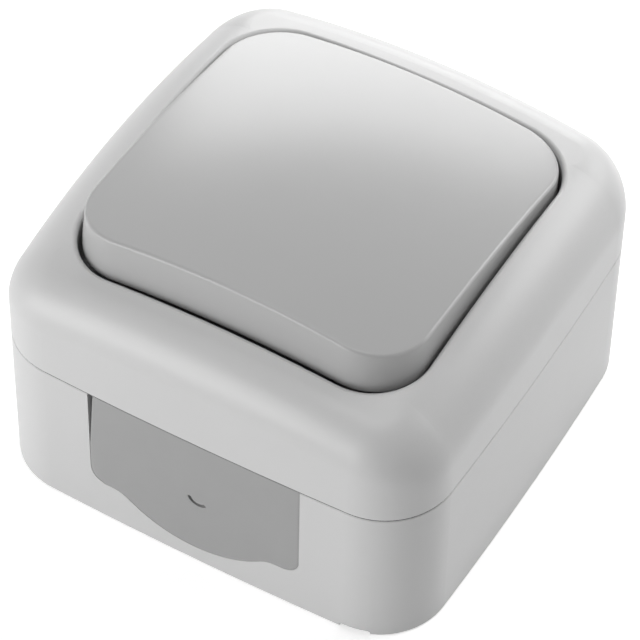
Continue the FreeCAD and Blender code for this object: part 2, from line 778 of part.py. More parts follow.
def front_cover():
    outer = domed_form("cover_outer", "0", "seam_height + seam_gap", "seam_bevel")
    well = new_body("cover_well_body")
    outline = new_sketch(well, "cover_well", "XY_Plane", z="deck_height + deck")
    bowed_square(outline, "rim_half", "rim_corner", "rim_bow")
    pad(well, outline, "dome_height + 1 - deck_height - deck")
    opened = cut("cover_opened", outer, [well])
    low_rim = number("deck_height + deck + 3")
    rim = number("rim_half")

    def rim_radii(edge):
        box = edge.BoundBox
        found = box.ZMin > low_rim and box.ZLength < 2.0 and spread(box) < rim + 0.1
        return (SIZES["rim_round"], SIZES["rim_round"]) if found else None

    body = rounded("cover_rim", opened, rim_radii)
    hollow = domed_form("cover_inner", "wall", "seam_height")
    sides = new_body("cover_well_sides")
    around = new_sketch(sides, "cover_around_well", "XY_Plane", z="deck_height")
    bowed_square(around, "rim_half + well_wall", "rim_corner + well_wall", "rim_bow + well_wall")
    pad(sides, around, "dome_height - deck_height")
    groove = new_body("cover_rebate_ring")
    rebate = new_sketch(groove, "cover_rebate", "XY_Plane", z="seam_height")
    offset_outline(rebate, "wall - tongue - gasket_play - gasket_play")
    offset_outline(rebate, "wall + 0.5")
    pad(groove, rebate, "tongue_rise + gasket_height")

    shell = cut("cover_shell", body, [cut("cover_cavity", hollow, [sides]), groove])
    solids = [shell]
    bores = [block("deck_hole", (minus("collar_x + deck_play"), "collar_x + deck_play"),
                   (minus("collar_y + deck_play"), "collar_y + deck_play"),
                   ("deck_height - 1", "deck_height + deck + 1"))]
    for index, (right, up) in enumerate(COVER_SCREWS):
        x = "cover_screw_at" if right > 0 else minus("cover_screw_at")
        y = "cover_screw_at" if up > 0 else minus("cover_screw_at")
        solids.append(rod("pillar%d" % index, "pillar", "deck_height + deck / 2 - boss_top",
                          x, y, "boss_top"))
        bores.append(rod("pillar_bore%d" % index, "cover_shank + 0.25", "deck_height - boss_top + 2",
                         x, y, "boss_top - 1"))
        bores.append(rod("pillar_seat%d" % index, "cover_head + 0.25",
                         "deck_height + deck - cover_seat + 1", x, y, "cover_seat"))
    finished("front_cover", cut("front_cover_shape", fuse("cover_solids", solids), bores))


# Rocker key
def key_form(name, half, corner, bow, foot, drop):
    """The key's outer form, or the form of its hollow, under a barrel-shaped top."""
    body = new_body(name)
    lower = new_sketch(body, name + "_lower", "XY_Plane", z=foot)
    bowed_square(lower, half, corner, bow)
    pad(body, lower, less("key_taper_from", foot))
    upper = new_sketch(body, name + "_upper", "XY_Plane", z="key_taper_from")
    bowed_square(upper, half, corner, bow)
    pad(body, upper, "key_top - key_taper_from + 2", taper="0 - key_taper")

    barrel = new_body(name + "_barrel")
    profile = new_sketch(barrel, name + "_profile", "XZ_Plane",
                         y="key_top - key_barrel_y - " + drop)
    under_arc(profile, "key_barrel_y", "key_barrel_x", "rim_half + 8", "key_barrel_y + 12")
    turned(barrel, profile, "Revolution", "H_Axis", angle=40.0)
    return cut(name + "_form", body, [barrel])


def rocker_key():
    outer = key_form("key_outer", "rim_half - key_gap", "rim_corner - key_gap_corner",
                     "rim_bow - key_gap", "key_foot", "0")
    limit = number("key_top") - 6.0
    around = (SIZES["key_round"], SIZES["key_round"])
    eased = rounded("key_rounded", outer,
                    lambda edge: around if edge.BoundBox.ZMin > limit else None)
    inner = key_form("key_inner", "rim_half - key_gap - key_wall",
                     "rim_corner - key_gap_corner - key_wall", "rim_bow - key_gap - key_wall",
                     "key_foot - 1", "key_roof")
    shell = cut("key_shell", eased, [inner])

    ribs = []
    for index, x in enumerate(("platform_x + 2", minus("platform_x + 2"))):
        ribs.append(block("key_rib_y%d" % index, (x + " - rib / 2", x + " + rib / 2"),
                          (minus("rim_half - 3"), "rim_half - 3"), ("rib_foot", "key_top - key_roof / 2")))
    for index, y in enumerate(("platform_y + 2", minus("platform_y + 2"))):
        ribs.append(block("key_rib_x%d" % index, (minus("rim_half - 3"), "rim_half - 3"),
                          (y + " - rib / 2", y + " + rib / 2"), ("rib_foot", "key_top - key_roof / 2")))
    for index, x in enumerate(("claw_x + 3", minus("claw_x + 3"))):
        ribs.append(block("key_seat%d" % index, (x + " - rib / 2", x + " + rib / 2"),
                          (minus("platform_y - 0.5"), "platform_y - 0.5"),
                          ("platform_foot + platform", "key_top - key_roof / 2")))
    inside = key_form("key_rib_limit", "rim_half - key_gap - key_wall / 2",
                      "rim_corner - key_gap_corner - key_wall / 2", "rim_bow - key_gap - key_wall / 2",
                      "key_foot", "key_roof / 2")
    trimmed = common("key_ribs", fuse("key_rib_blocks", ribs), inside)

    claws = []
    for index in range(2):
        near = ("claw_at", "claw_at + claw")
        hook = ("claw_at", "claw_at + claw + claw_hook")
        if index:
            near = (minus(near[1]), minus(near[0]))
            hook = (minus(hook[1]), minus(hook[0]))
        across = (minus("claw_x"), "claw_x")
        claws.append(block("claw%d" % index, across, near,
                           ("platform_foot - 1", "key_top - key_roof / 1.5")))
        claws.append(block("claw_hook%d" % index, across, hook,
                           ("platform_foot - 1", "platform_foot - 0.05")))
    finished("rocker_key", fuse("rocker_key_shape", [shell, trimmed] + claws), rocker_rest)


# Rocker carrier
def rocker_carrier():
    drum = rod("drum_rod", "drum", "2 * drum_half", minus("drum_half"), "0", "pivot_height", "X")
    axle = rod("trunnion_rod", "trunnion", "2 * collar_x - 0.4", "0.2 - collar_x", "0",
               "pivot_height", "X")
    neck = block("drum_neck", (minus("drum_half"), "drum_half"), ("0 - drum + 1", "drum - 1"),
                 ("pivot_height", "platform_foot + 0.5"))
    top = new_body("platform_body")
    plate = new_sketch(top, "platform_plate", "XY_Plane", z="platform_foot")
    round_rectangle(plate, "platform_x", "platform_y", "collar_corner")
    pad(top, plate, "platform")
    nose = rod("nose_rod", "nose", "pivot_height - nose_foot", "0", "0", "nose_foot")
    bore = rod("plunger_bore", "bore", "bore_top - nose_foot + 1", "0", "0", "nose_foot - 1")
    tools = [bore]
    tools.append(block("carrier_top_trim", (minus("platform_x + 1"), "platform_x + 1"),
                       (minus("drum + 1"), "drum + 1"),
                       ("platform_foot + platform", "pivot_height + drum + 1")))
    for index in range(2):
        y = ("claw_at - 0.15", "claw_at + claw + 0.15")
        if index:
            y = (minus(y[1]), minus(y[0]))
        tools.append(block("claw_slot%d" % index, (minus("claw_x + 0.15"), "claw_x + 0.15"), y,
                           ("platform_foot - 1", "platform_foot + platform + 1")))
    whole = fuse("carrier_solids", [drum, axle, neck, top, nose])
    finished("rocker_carrier", cut("carrier_shape", whole, tools), rocker_rest)


# Plunger and spring
def plunger():
    body = new_body("plunger_body")
    profile = new_sketch(body, "plunger_profile", "XZ_Plane")
    polygon(profile, (("0", "plunger_tip"), ("plunger_nose / 3", "plunger_tip"),
                      ("plunger_nose / 1.6", "plunger_tip + 0.5"),
                      ("plunger_nose / 1.15", "plunger_tip + plunger_nose"),
                      ("plunger", "plunger_tip + plunger_nose + 1.2"),
                      ("plunger", "plunger_top"), ("plunger_nose / 2.4", "plunger_top"),
                      ("plunger_nose / 2.4", "plunger_top + 1.6"), ("0", "plunger_top + 1.6")))
    turned(body, profile, "Revolution")
    finished("plunger", body, rocker_rest)


def plunger_spring():
    """A helix from the plunger's shoulder to the top of the carrier's bore."""
    low = number("plunger_top + spring_wire + 0.05")
    high = number("bore_top - spring_wire - 0.05")
    turns = SIZES["spring_turns"]
    path = Part.makeHelix((high - low) / turns, high - low, SIZES["spring_radius"])
    path.translate(Vector(0, 0, low))
    start = Vector(SIZES["spring_radius"], 0, low)
    section = Part.Wire(Part.makeCircle(SIZES["spring_wire"], start, Vector(0, 1, 0)))
    coil = Part.Wire(path.Edges).makePipeShell([section], True, True)
    item = doc.addObject("Part::Feature", "plunger_spring_coil")
    item.Shape = coil
    finished("plunger_spring", item, rocker_rest)


# Contact bridge and contacts
def rivet(name, y, head_foot, head_height, stem_top, upset):
    """A contact rivet standing head down or head up at a place along Y."""
    head = rod(name + "_head", "contact", head_height, "0", y, head_foot)
    stem = rod(name + "_stem", "contact_stem", stem_top, "0", y, upset)
    return fuse(name + "_shape", [head, stem])


def contact_bridge():
    low = "bridge_top - bridge"
    strip = block("bridge_strip", (minus("bridge_half"), "bridge_half"),
                  (minus("bridge_reach"), "bridge_reach"), (low, "bridge_top"))
    groove = block("bridge_groove_cut", (minus("bridge_half + 1"), "bridge_half + 1"),
                   (minus("bead + bead_play"), "bead + bead_play"),
                   (low + " - 1", low + " + bridge_groove"))
    seat = rod("bridge_groove_round", "bead + bead_play", "2 * bridge_half + 2",
               minus("bridge_half + 1"), "0", low + " + bridge_groove", "X")
    hole = rod("bridge_hole", "contact_stem", "bridge + 2", "0", "contact_at", low + " - 1")
    finished("contact_bridge", cut("bridge_shape", strip, [groove, seat, hole]), bridge_rest)
    head = rivet("bridge_contact", "contact_at", low + " - contact_rise", "contact_rise",
                 "bridge + contact_rise", low + " - contact_rise")
    finished("bridge_contact", head, bridge_rest)


def live_contact_top():
    """Height of the fixed contact: just under the closed bridge contact."""
    arm = number("contact_at")
    drop = number("bridge_groove + contact_rise")
    swing = math.radians(SIZES["bridge_swing"])
    lowest = arm * math.sin(swing) + drop * math.cos(swing) + SIZES["contact"] * math.sin(swing)
    return bridge_axis - lowest - SIZES["contact_gap"]


# Terminals
def terminals():
    foot = "chamber_foot"
    base = block("common_strip", (minus("strip_half"), "strip_half"),
                 (minus("strip_end"), "common_end"), (foot, foot + " + strip"))
    ridge_body = new_body("common_ridge_body")
    ridge = new_sketch(ridge_body, "common_ridge", "YZ_Plane", z="0 - strip_half + 0.3")
    pivot = "bridge_top - bridge + bridge_groove"
    tip = pivot + " - bead / 1.5"
    polygon(ridge, (("0 - common_end", foot + " + strip"), ("common_end", foot + " + strip"),
                    ("common_end", foot + " + strip + 0.8"), ("bead / 2", tip),
                    ("0 - bead / 2", tip), ("0 - common_end", foot + " + strip + 0.8")))
    pad(ridge_body, ridge, "2 * strip_half - 0.6")
    bead = rod("common_bead", "bead", "2 * strip_half - 0.6", "0.3 - strip_half", "0", pivot, "X")
    finished("common_terminal", fuse("common_shape", [base, ridge_body, bead]))

    strip = block("live_strip", (minus("strip_half"), "strip_half"), ("live_end", "strip_end"),
                  (foot, foot + " + strip"))
    hole = rod("live_hole", "contact_stem", "strip + 2", "0", "contact_at", foot + " - 1")
    finished("live_terminal", cut("live_shape", strip, [hole]))

    top = live_contact_top()
    head = Part.makeCylinder(SIZES["contact"], top - number(foot + " + strip"),
                             Vector(0, SIZES["contact_at"], number(foot + " + strip")))
    stem = Part.makeCylinder(SIZES["contact_stem"], SIZES["strip"],
                             Vector(0, SIZES["contact_at"], number(foot)))
    item = doc.addObject("Part::Feature", "live_contact_shape")
    item.Shape = head.fuse(stem)
    finished("live_contact", item)


def clamp(name, side):
    """A cage clamp around the end of a terminal strip, and its screw."""
    low, high = ("clamp_near", "clamp_far")
    if side < 0:
        low, high = (minus(high), minus(low))
    middle = "clamp_near / 2 + clamp_far / 2"
    y = middle if side > 0 else minus(middle)
    cage = block(name + "_cage", (minus("clamp_half"), "clamp_half"), (low, high),
                 ("clamp_foot", "clamp_top"))
    window = block(name + "_window", (minus("clamp_half - clamp_wall"), "clamp_half - clamp_wall"),
                   (low + " - 1", high + " + 1"),
                   ("clamp_foot + clamp_wall", "clamp_top - clamp_roof"))
    thread = rod(name + "_thread", "terminal_shank + 0.03", "clamp_roof + 2", "0", y,
                 "clamp_top - clamp_roof - 1")
    finished("terminal_clamp_" + name, cut(name + "_clamp", cage, [window, thread]))
    screw(name + "_terminal_screw", "0", y, "chamber_foot + strip", "terminal_shank",
          "terminal_head", "terminal_head_at", "terminal_head_height", cross=False)


def screw(name, x, y, foot, shank, head, head_at, head_height, cross=True):
    """A machine screw standing on its point, with a slot or a cross in its head."""
    parts = [rod(name + "_shank", shank, less(head_at, foot), x, y, foot),
             rod(name + "_head", head, head_height, x, y, head_at)]
    rise = (head_at + " + " + head_height + " - slot_depth", head_at + " + " + head_height + " + 1")
    reach = head + (" - 1" if cross else " + 1")
    slots = [block(name + "_slot", (less(x, reach), x + " + " + reach),
                   (y + " - slot / 2", y + " + slot / 2"), rise)]
    if cross:
        slots.append(block(name + "_cross", (x + " - slot / 2", x + " + slot / 2"),
                           (less(y, reach), y + " + " + reach), rise))
    finished(name, cut(name + "_shape", fuse(name + "_solids", parts), slots))


# Switch body
def switch_body():
    body = new_body("switch_body_block")
    outline = new_sketch(body, "switch_outline", "XY_Plane", z="body_foot")
    round_rectangle(outline, "body_half_x", "body_half_y", "body_corner")
    pad(body, outline, "plate_foot - body_foot")
    top = "plate_foot + 1"
    tools = [block("chamber", (minus("chamber_x"), "chamber_x"), (minus("chamber_y"), "chamber_y"),
                   ("chamber_foot", top))]
    for index in range(2):
        pocket_y = ("clamp_near - clamp_play", "clamp_far + clamp_play")
        slot_y = ("chamber_y - 0.5", "clamp_near")
        wire_y = "clamp_far" if index == 0 else minus("body_half_y + 1")
        if index:
            pocket_y = (minus(pocket_y[1]), minus(pocket_y[0]))
            slot_y = (minus(slot_y[1]), minus(slot_y[0]))
        tools.append(block("clamp_pocket%d" % index,
                           (minus("clamp_half + clamp_play"), "clamp_half + clamp_play"), pocket_y,
                           ("clamp_foot", top)))
        tools.append(block("strip_slot%d" % index, (minus("strip_half + 0.05"), "strip_half + 0.05"),
                           slot_y, ("chamber_foot", top)))
        tools.append(rod("wire_way%d" % index, "wire_hole", "body_half_y + 1 - clamp_far", "0",
                         wire_y, "clamp_foot + clamp_wall + wire_hole", axis="Y"))
    solids = [body]
    for index, (right, up) in enumerate(((1, 1), (-1, 1), (-1, -1), (1, -1))):
        x = ("hook_x - hook_half", "hook_x + hook_half")
        y = ("hook_at", "hook_at + hook")
        barb = ("hook_at - 0.6", "hook_at + hook")
        if right < 0:
            x = (minus(x[1]), minus(x[0]))
        if up < 0:
            y = (minus(y[1]), minus(y[0]))
            barb = (minus(barb[1]), minus(barb[0]))
        solids.append(block("hook_stem%d" % index, x, y, ("plate_foot - 1", "plate_foot + plate + 0.7")))
        solids.append(block("hook_barb%d" % index, x, barb,
                            ("plate_foot + plate", "plate_foot + plate + 0.7")))
    finished("switch_body", fuse("switch_body_shape", [cut("switch_hollow", body, tools)] + solids[1:]))


# Switch frame
def switch_frame():
    body = new_body("switch_frame_plate")
    plate = new_sketch(body, "frame_plate", "XY_Plane", z="plate_foot")
    round_rectangle(plate, "plate_half_x", "plate_half_y", "plate_corner")
    pad(body, plate, "plate")
    ears = new_sketch(body, "frame_ears", "XY_Plane", z="plate_foot")
    round_rectangle(ears, "ear_end", "ear_half", "ear_half / 2")
    pad(body, ears, "plate")
    collar = new_sketch(body, "frame_collar", "XY_Plane", z="plate_foot + plate / 2")
    round_rectangle(collar, "collar_x", "collar_y", "collar_corner")
    pad(body, collar, "collar_top - plate_foot - plate / 2")
    inside = new_sketch(body, "frame_collar_inside", "XY_Plane", z="plate_foot + plate")
    round_rectangle(inside, "collar_x - collar_wall", "collar_y - collar_wall", "collar_corner / 2")
    pocket(body, inside, "collar_top - plate_foot", forward=True)

    tools = [block("nose_slot", (minus("chamber_x"), "chamber_x"), (minus("nose_way"), "nose_way"),
                   ("plate_foot - 1", "plate_foot + plate + 1")),
             rod("bearings", "trunnion + trunnion_play", "2 * collar_x + 2", minus("collar_x + 1"),
                 "0", "pivot_height", "X"),
             rod("drum_way", "drum + drum_play", "2 * drum_half + drum_play",
                 minus("drum_half + drum_play / 2"), "0", "pivot_height", "X")]
    tools.append(block("claw_notch", (minus("claw_x + 1"), "claw_x + 1"),
                       (minus("collar_y + 1"), "collar_y + 1"),
                       ("collar_top - collar_notch", "collar_top + 1")))
    for index, side in enumerate(("ear_screw_at", minus("ear_screw_at"))):
        tools.append(rod("ear_hole%d" % index, "frame_shank + 0.2", "plate + 2", side, "0",
                         "plate_foot - 1"))
    middle = "clamp_near / 2 + clamp_far / 2"
    for index, y in enumerate((middle, minus(middle))):
        tools.append(rod("driver_hole%d" % index, "terminal_head + 0.3", "plate + 2", "0", y,
                         "plate_foot - 1"))
    for index, (right, up) in enumerate(((1, 1), (-1, 1), (-1, -1), (1, -1))):
        x = ("hook_x - hook_half - 0.1", "hook_x + hook_half + 0.1")
        y = ("hook_at", "hook_at + hook + 0.1")
        if right < 0:
            x = (minus(x[1]), minus(x[0]))
        if up < 0:
            y = (minus(y[1]), minus(y[0]))
        tools.append(block("hook_slot%d" % index, x, y, ("plate_foot - 1", "plate_foot + plate + 1")))
    finished("switch_frame", cut("switch_frame_shape", body, tools))


# Seals
def rocker_seal():
    body = new_body("rocker_seal_body")
    ring = new_sketch(body, "seal_ring_outline", "XY_Plane", z="plate_foot + plate")
    round_rectangle(ring, "collar_x + seal_play + seal_width", "collar_y + seal_play + seal_width",
                    "collar_corner + seal_width")
    round_rectangle(ring, "collar_x + seal_play", "collar_y + seal_play", "collar_corner + seal_play")
    pad(body, ring, "deck_height - plate_foot - plate")
    finished("rocker_seal", body)


def screws():
    for index, (right, up) in enumerate(COVER_SCREWS):
        x = "cover_screw_at" if right > 0 else minus("cover_screw_at")
        y = "cover_screw_at" if up > 0 else minus("cover_screw_at")
        side = "right" if right > 0 else "left"
        screw("cover_screw_" + side, x, y, "screw_foot", "cover_shank", "cover_head",
              "cover_seat + seal_ring", "head_height")
        ring = cut("screw_seal%d_shape" % index,
                   rod("screw_seal_out%d" % index, "cover_head - 0.1", "seal_ring", x, y, "cover_seat"),
                   [rod("screw_seal_in%d" % index, "cover_shank + 0.05", "seal_ring + 2", x, y,
                        "cover_seat - 1")])
        finished("screw_seal_" + side, ring)
    for side, x in (("right", "ear_screw_at"), ("left", minus("ear_screw_at"))):
        screw("frame_screw_" + side, x, "0", "frame_screw_foot", "frame_shank", "frame_head",
              "plate_foot + plate", "frame_head_height")


back_box()
cable_membrane()
housing_gasket()
front_cover()
rocker_key()
rocker_carrier()
plunger()
plunger_spring()
contact_bridge()
terminals()
clamp("live", 1)
clamp("common", -1)
switch_body()
switch_frame()
rocker_seal()
screws()

doc.recompute()

# Checks, then one file for each sub-part
for item in doc.Objects:
    if "Invalid" in item.State or "Error" in item.State:
        raise ValueError("failed: %s %s" % (item.Name, item.State))
for item in nodes:
    shape = item.Shape
    if shape.isNull() or not shape.isValid():
        raise ValueError("bad shape: " + item.Label)

os.makedirs("parts", exist_ok=True)
for item in nodes:
    item.Shape.exportStep("parts/%s.step" % item.Label)
    print("%-24s %2d solid(s) %9.1f mm3" % (item.Label, len(item.Shape.Solids), item.Shape.Volume))
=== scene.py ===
# %% [markdown]
# A weatherproof light switch lies on its back on a white table. The CAD model gives every piece at its
# real size and place. This lesson gives each piece its finish, sets the camera and the lights, and makes
# again the pieces that a CAD model draws too plainly: the rocker key, the rubber cable membrane, the
# seals and the return spring. The screws get their threads.
# %% Load the frame
import math

import bmesh
import bpy
import numpy as np
from mathutils import Matrix, Vector


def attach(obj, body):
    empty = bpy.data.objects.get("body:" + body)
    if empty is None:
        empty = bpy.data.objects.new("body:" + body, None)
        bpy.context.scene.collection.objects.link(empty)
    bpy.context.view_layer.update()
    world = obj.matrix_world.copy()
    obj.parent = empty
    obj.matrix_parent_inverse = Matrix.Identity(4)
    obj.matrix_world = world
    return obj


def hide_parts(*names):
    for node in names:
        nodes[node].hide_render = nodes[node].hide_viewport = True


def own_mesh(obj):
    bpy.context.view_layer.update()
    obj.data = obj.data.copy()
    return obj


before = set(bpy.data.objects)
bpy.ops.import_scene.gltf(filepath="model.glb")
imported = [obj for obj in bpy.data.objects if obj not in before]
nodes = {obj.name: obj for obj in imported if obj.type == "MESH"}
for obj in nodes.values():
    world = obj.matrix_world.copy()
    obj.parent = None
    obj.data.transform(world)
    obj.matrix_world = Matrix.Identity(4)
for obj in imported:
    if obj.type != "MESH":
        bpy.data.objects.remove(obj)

MM = 0.001
SHARP_FROM = math.radians(38)
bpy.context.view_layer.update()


def put(name, data):
    """A new object in the scene."""
    thing = bpy.data.objects.new(name, data)
    bpy.context.scene.collection.objects.link(thing)
    return thing


# %% [markdown]
# The camera comes first. It looks down from the front right with a long lens, so the far side is nearly
# as large as the near side. Its place is given as a direction and a distance, so that it can be checked
# against the photograph one number at a time.
# %% Camera
AZIMUTH = math.radians(29.24)
ELEVATION = math.radians(48.96)
ROLL = math.radians(1.21)
DISTANCE = 518.0 * MM
FOCAL_PIXELS = 3745.0
FRAME_PIXELS = 640.0
SENSOR = 36.0
TARGET = Vector((0, 0, 22 * MM))
TARGET_ABOVE_MIDDLE = 25.3

back = Vector((math.sin(AZIMUTH) * math.cos(ELEVATION),
               -math.cos(AZIMUTH) * math.cos(ELEVATION), math.sin(ELEVATION)))
right = Vector((math.cos(AZIMUTH), math.sin(AZIMUTH), 0))
up = back.cross(right)
rolled_right = math.cos(ROLL) * right + math.sin(ROLL) * up
rolled_up = -math.sin(ROLL) * right + math.cos(ROLL) * up


def add_camera():
    data = bpy.data.cameras.new("camera")
    data.lens = FOCAL_PIXELS * SENSOR / FRAME_PIXELS
    data.sensor_width = SENSOR
    camera = put("camera", data)
    pitch = math.atan(TARGET_ABOVE_MIDDLE / FOCAL_PIXELS)
    look_back = back * math.cos(pitch) + rolled_up * math.sin(pitch)
    look_up = rolled_up * math.cos(pitch) - back * math.sin(pitch)
    turn = Matrix((rolled_right, look_up, look_back)).transposed()
    camera.matrix_world = Matrix.Translation(TARGET + back * DISTANCE) @ turn.to_4x4()
    bpy.context.scene.camera = camera
    return camera


camera = add_camera()
print("lens in mm:", round(camera.data.lens, 1))

# %% [markdown]
# Every finish on this switch is one of three effects with different numbers: the fine satin grain of a
# spark-eroded mould, the matt bloom of soft rubber, and the streaks and mottle of metal that was rolled,
# drawn or plated. Each could be painted into every material by hand. Shader node groups are built once
# instead, with named inputs, and each material places one with its own values. The groups put out only
# a colour, a roughness and a height, and the shader itself stays in the material.
# %% Helpers for node trees


def add_sockets(tree, inputs, outputs):
    for name, kind, value in inputs:
        socket = tree.interface.new_socket(name=name, in_out="INPUT", socket_type="NodeSocket" + kind)
        if value is not None:
            socket.default_value = value
    for name, kind in outputs:
        tree.interface.new_socket(name=name, in_out="OUTPUT", socket_type="NodeSocket" + kind)
    return tree.nodes.new("NodeGroupInput"), tree.nodes.new("NodeGroupOutput")


def feed(tree, socket, source):
    """Links a node's output to a socket, or writes a plain value on it."""
    if isinstance(source, bpy.types.NodeSocket):
        tree.links.new(source, socket)
    else:
        socket.default_value = source


def calculate(tree, operation, *sources):
    node = tree.nodes.new("ShaderNodeMath")
    node.operation = operation
    for socket, source in zip(node.inputs, sources):
        feed(tree, socket, source)
    return node.outputs[0]


def remap(tree, value, low, high):
    """Spreads a 0 to 1 value between two others."""
    node = tree.nodes.new("ShaderNodeMapRange")
    node.clamp = True
    feed(tree, node.inputs["Value"], value)
    feed(tree, node.inputs["To Min"], low)
    feed(tree, node.inputs["To Max"], high)
    return node.outputs["Result"]


def cloudy(tree, vector, scale, detail=2.0, roughness=0.5, stretch=None):
    """Soft noise, about 0.5 on average, drawn out along an axis if asked."""
    if stretch:
        mapping = tree.nodes.new("ShaderNodeMapping")
        mapping.inputs["Scale"].default_value = stretch
        tree.links.new(vector, mapping.inputs["Vector"])
        vector = mapping.outputs["Vector"]
    noise = tree.nodes.new("ShaderNodeTexNoise")
    noise.inputs["Detail"].default_value = detail
    noise.inputs["Roughness"].default_value = roughness
    feed(tree, noise.inputs["Scale"], scale)
    tree.links.new(vector, noise.inputs["Vector"])
    return noise.outputs["Fac"]


def vector_math(tree, operation, first, second=None, scale=None):
    """One step of vector arithmetic. A colour counts as a vector here."""
    node = tree.nodes.new("ShaderNodeVectorMath")
    node.operation = operation
    for place, source in ((0, first), (1, second), ("Scale", scale)):
        if source is not None:
            feed(tree, node.inputs[place], source)
    return node.outputs[0]


def square(tree, value):
    return calculate(tree, "MULTIPLY", value, value)


def blend(tree, first, share, second):
    """A mean of two values in which the first has the given share."""
    return calculate(tree, "ADD", calculate(tree, "MULTIPLY", first, share),
                     calculate(tree, "MULTIPLY", second, 1 - share))


def swing(tree, value, middle, below, above):
    """Turns 0 to 1 into a little below the middle to a little above it."""
    return remap(tree, value, calculate(tree, "SUBTRACT", middle, below),
                 calculate(tree, "ADD", middle, above))


# %% Moulded grain: satin plastic from an eroded mould
FINISH_INPUTS = [("Vector", "Vector", None), ("Colour", "Color", (0.5, 0.5, 0.5, 1)),
                 ("Roughness", "Float", 0.4), ("Variation", "Float", 0.5), ("Grain", "Float", 0.5)]
FINISH_OUTPUTS = [("Colour", "Color"), ("Roughness", "Float"), ("Height", "Float")]


def finish_group(name):
    group = bpy.data.node_groups.new(name, "ShaderNodeTree")
    into, out = add_sockets(group, FINISH_INPUTS, FINISH_OUTPUTS)
    return group, into.outputs, out.inputs


def put_out(group, into, out, factor, roughness, relief):
    """What every effect ends with: the colour times a factor, the roughness and the height."""
    feed(group, out["Colour"], vector_math(group, "SCALE", into["Colour"], scale=factor))
    feed(group, out["Roughness"], roughness)
    feed(group, out["Height"], calculate(group, "MULTIPLY", relief, into["Grain"]))
    return group


def moulded_grain():
    """A fine pebble of 0.1 to 0.3 mm, a slow drift in tone and a patchy gloss from the mould."""
    group, into, out = finish_group("moulded_grain")
    vector = into["Vector"]
    drift = cloudy(group, vector, 34.0, 2.0)
    patches = cloudy(group, vector, 260.0, 3.0)
    pebble = cloudy(group, vector, 4200.0, 2.0, 0.6)
    fine = cloudy(group, vector, 11000.0, 1.0)
    depth = calculate(group, "MULTIPLY", into["Variation"], 0.06)
    spread = calculate(group, "MULTIPLY", into["Variation"], 0.12)
    factor = swing(group, blend(group, drift, 0.7, pebble), 1.0, depth, depth)
    gloss = swing(group, blend(group, patches, 0.6, pebble), into["Roughness"], spread, spread)
    return put_out(group, into, out, factor, gloss, blend(group, pebble, 0.75, fine))


MOULDED = moulded_grain()
print("moulded grain:", len(MOULDED.nodes), "nodes")

# %% Rubber bloom: soft rubber with a chalky film


def rubber_bloom():
    """Soft rubber: a dull powdery film in clouds, and small pits where the mould breathed."""
    group, into, out = finish_group("rubber_bloom")
    vector = into["Vector"]
    clouds = cloudy(group, vector, 120.0, 4.0, 0.6)
    powder = cloudy(group, vector, 5200.0, 3.0, 0.7)
    pits = group.nodes.new("ShaderNodeTexVoronoi")
    pits.inputs["Scale"].default_value = 1500.0
    group.links.new(vector, pits.inputs["Vector"])
    hollow = calculate(group, "LESS_THAN", pits.outputs["Distance"], 0.16)
    film = blend(group, clouds, 0.6, powder)
    depth = calculate(group, "MULTIPLY", into["Variation"], 0.14)
    factor = swing(group, film, 1.0, depth, depth)
    gloss = swing(group, film, into["Roughness"], depth, depth)
    relief = calculate(group, "SUBTRACT", powder, calculate(group, "MULTIPLY", hollow, 0.3))
    return put_out(group, into, out, factor, gloss, relief)


RUBBER = rubber_bloom()
print("rubber bloom:", len(RUBBER.nodes), "nodes")

# %% Drawn metal: streaks along the way it was rolled or drawn


def drawn_metal(name, stretch, mottle):
    """Bright metal with streaks along one axis, and with the mottled film of plating over them."""
    group, into, out = finish_group(name)
    streaks = cloudy(group, into["Vector"], 900.0, 3.0, 0.6, stretch)
    film = cloudy(group, into["Vector"], mottle, 4.0, 0.6)
    both = blend(group, streaks, 0.55, film)
    depth = calculate(group, "MULTIPLY", into["Variation"], 0.3)
    factor = swing(group, both, 1.0, depth, 0.05)
    gloss = swing(group, both, into["Roughness"], 0.1, 0.16)
    return put_out(group, into, out, factor, gloss, both)


ROLLED = drawn_metal("rolled_strip", (6.0, 0.4, 6.0), 420.0)
DRAWN = drawn_metal("drawn_wire", (3.0, 3.0, 3.0), 900.0)
PLATED = drawn_metal("zinc_plating", (1.0, 1.0, 5.0), 700.0)
print("metal effects:", ROLLED.name, DRAWN.name, PLATED.name)

# %% [markdown]
# The record names thirteen finishes, one for each slot. Housing and key are the same family of light
# grey plastic, but the key is a shade darker and has more gloss, so it mirrors the room where the cover
# only glows. The numbers below were read by comparing a render with the photograph region by region.
# %% One finish from a group


def finish(name, group, colour, roughness, variation, grain, relief, metallic=0.0):
    """A Principled material whose colour, roughness and bump come from one of the groups."""
    material = bpy.data.materials.new(name)
    material.use_nodes = True
    tree = material.node_tree
    shader = tree.nodes["Principled BSDF"]
    place = tree.nodes.new("ShaderNodeTexCoord")
    effect = tree.nodes.new("ShaderNodeGroup")
    effect.node_tree = group
    tree.links.new(place.outputs["Object"], effect.inputs["Vector"])
    for field, value in (("Colour", (*colour, 1)), ("Roughness", roughness), ("Variation", variation),
                         ("Grain", grain)):
        effect.inputs[field].default_value = value
    bump = tree.nodes.new("ShaderNodeBump")
    bump.inputs["Strength"].default_value = 1.0
    bump.inputs["Distance"].default_value = relief
    tree.links.new(effect.outputs["Height"], bump.inputs["Height"])
    tree.links.new(effect.outputs["Colour"], shader.inputs["Base Color"])
    tree.links.new(effect.outputs["Roughness"], shader.inputs["Roughness"])
    tree.links.new(bump.outputs["Normal"], shader.inputs["Normal"])
    shader.inputs["Metallic"].default_value = metallic
    return material


def grey(tone):
    return (tone, tone, tone)


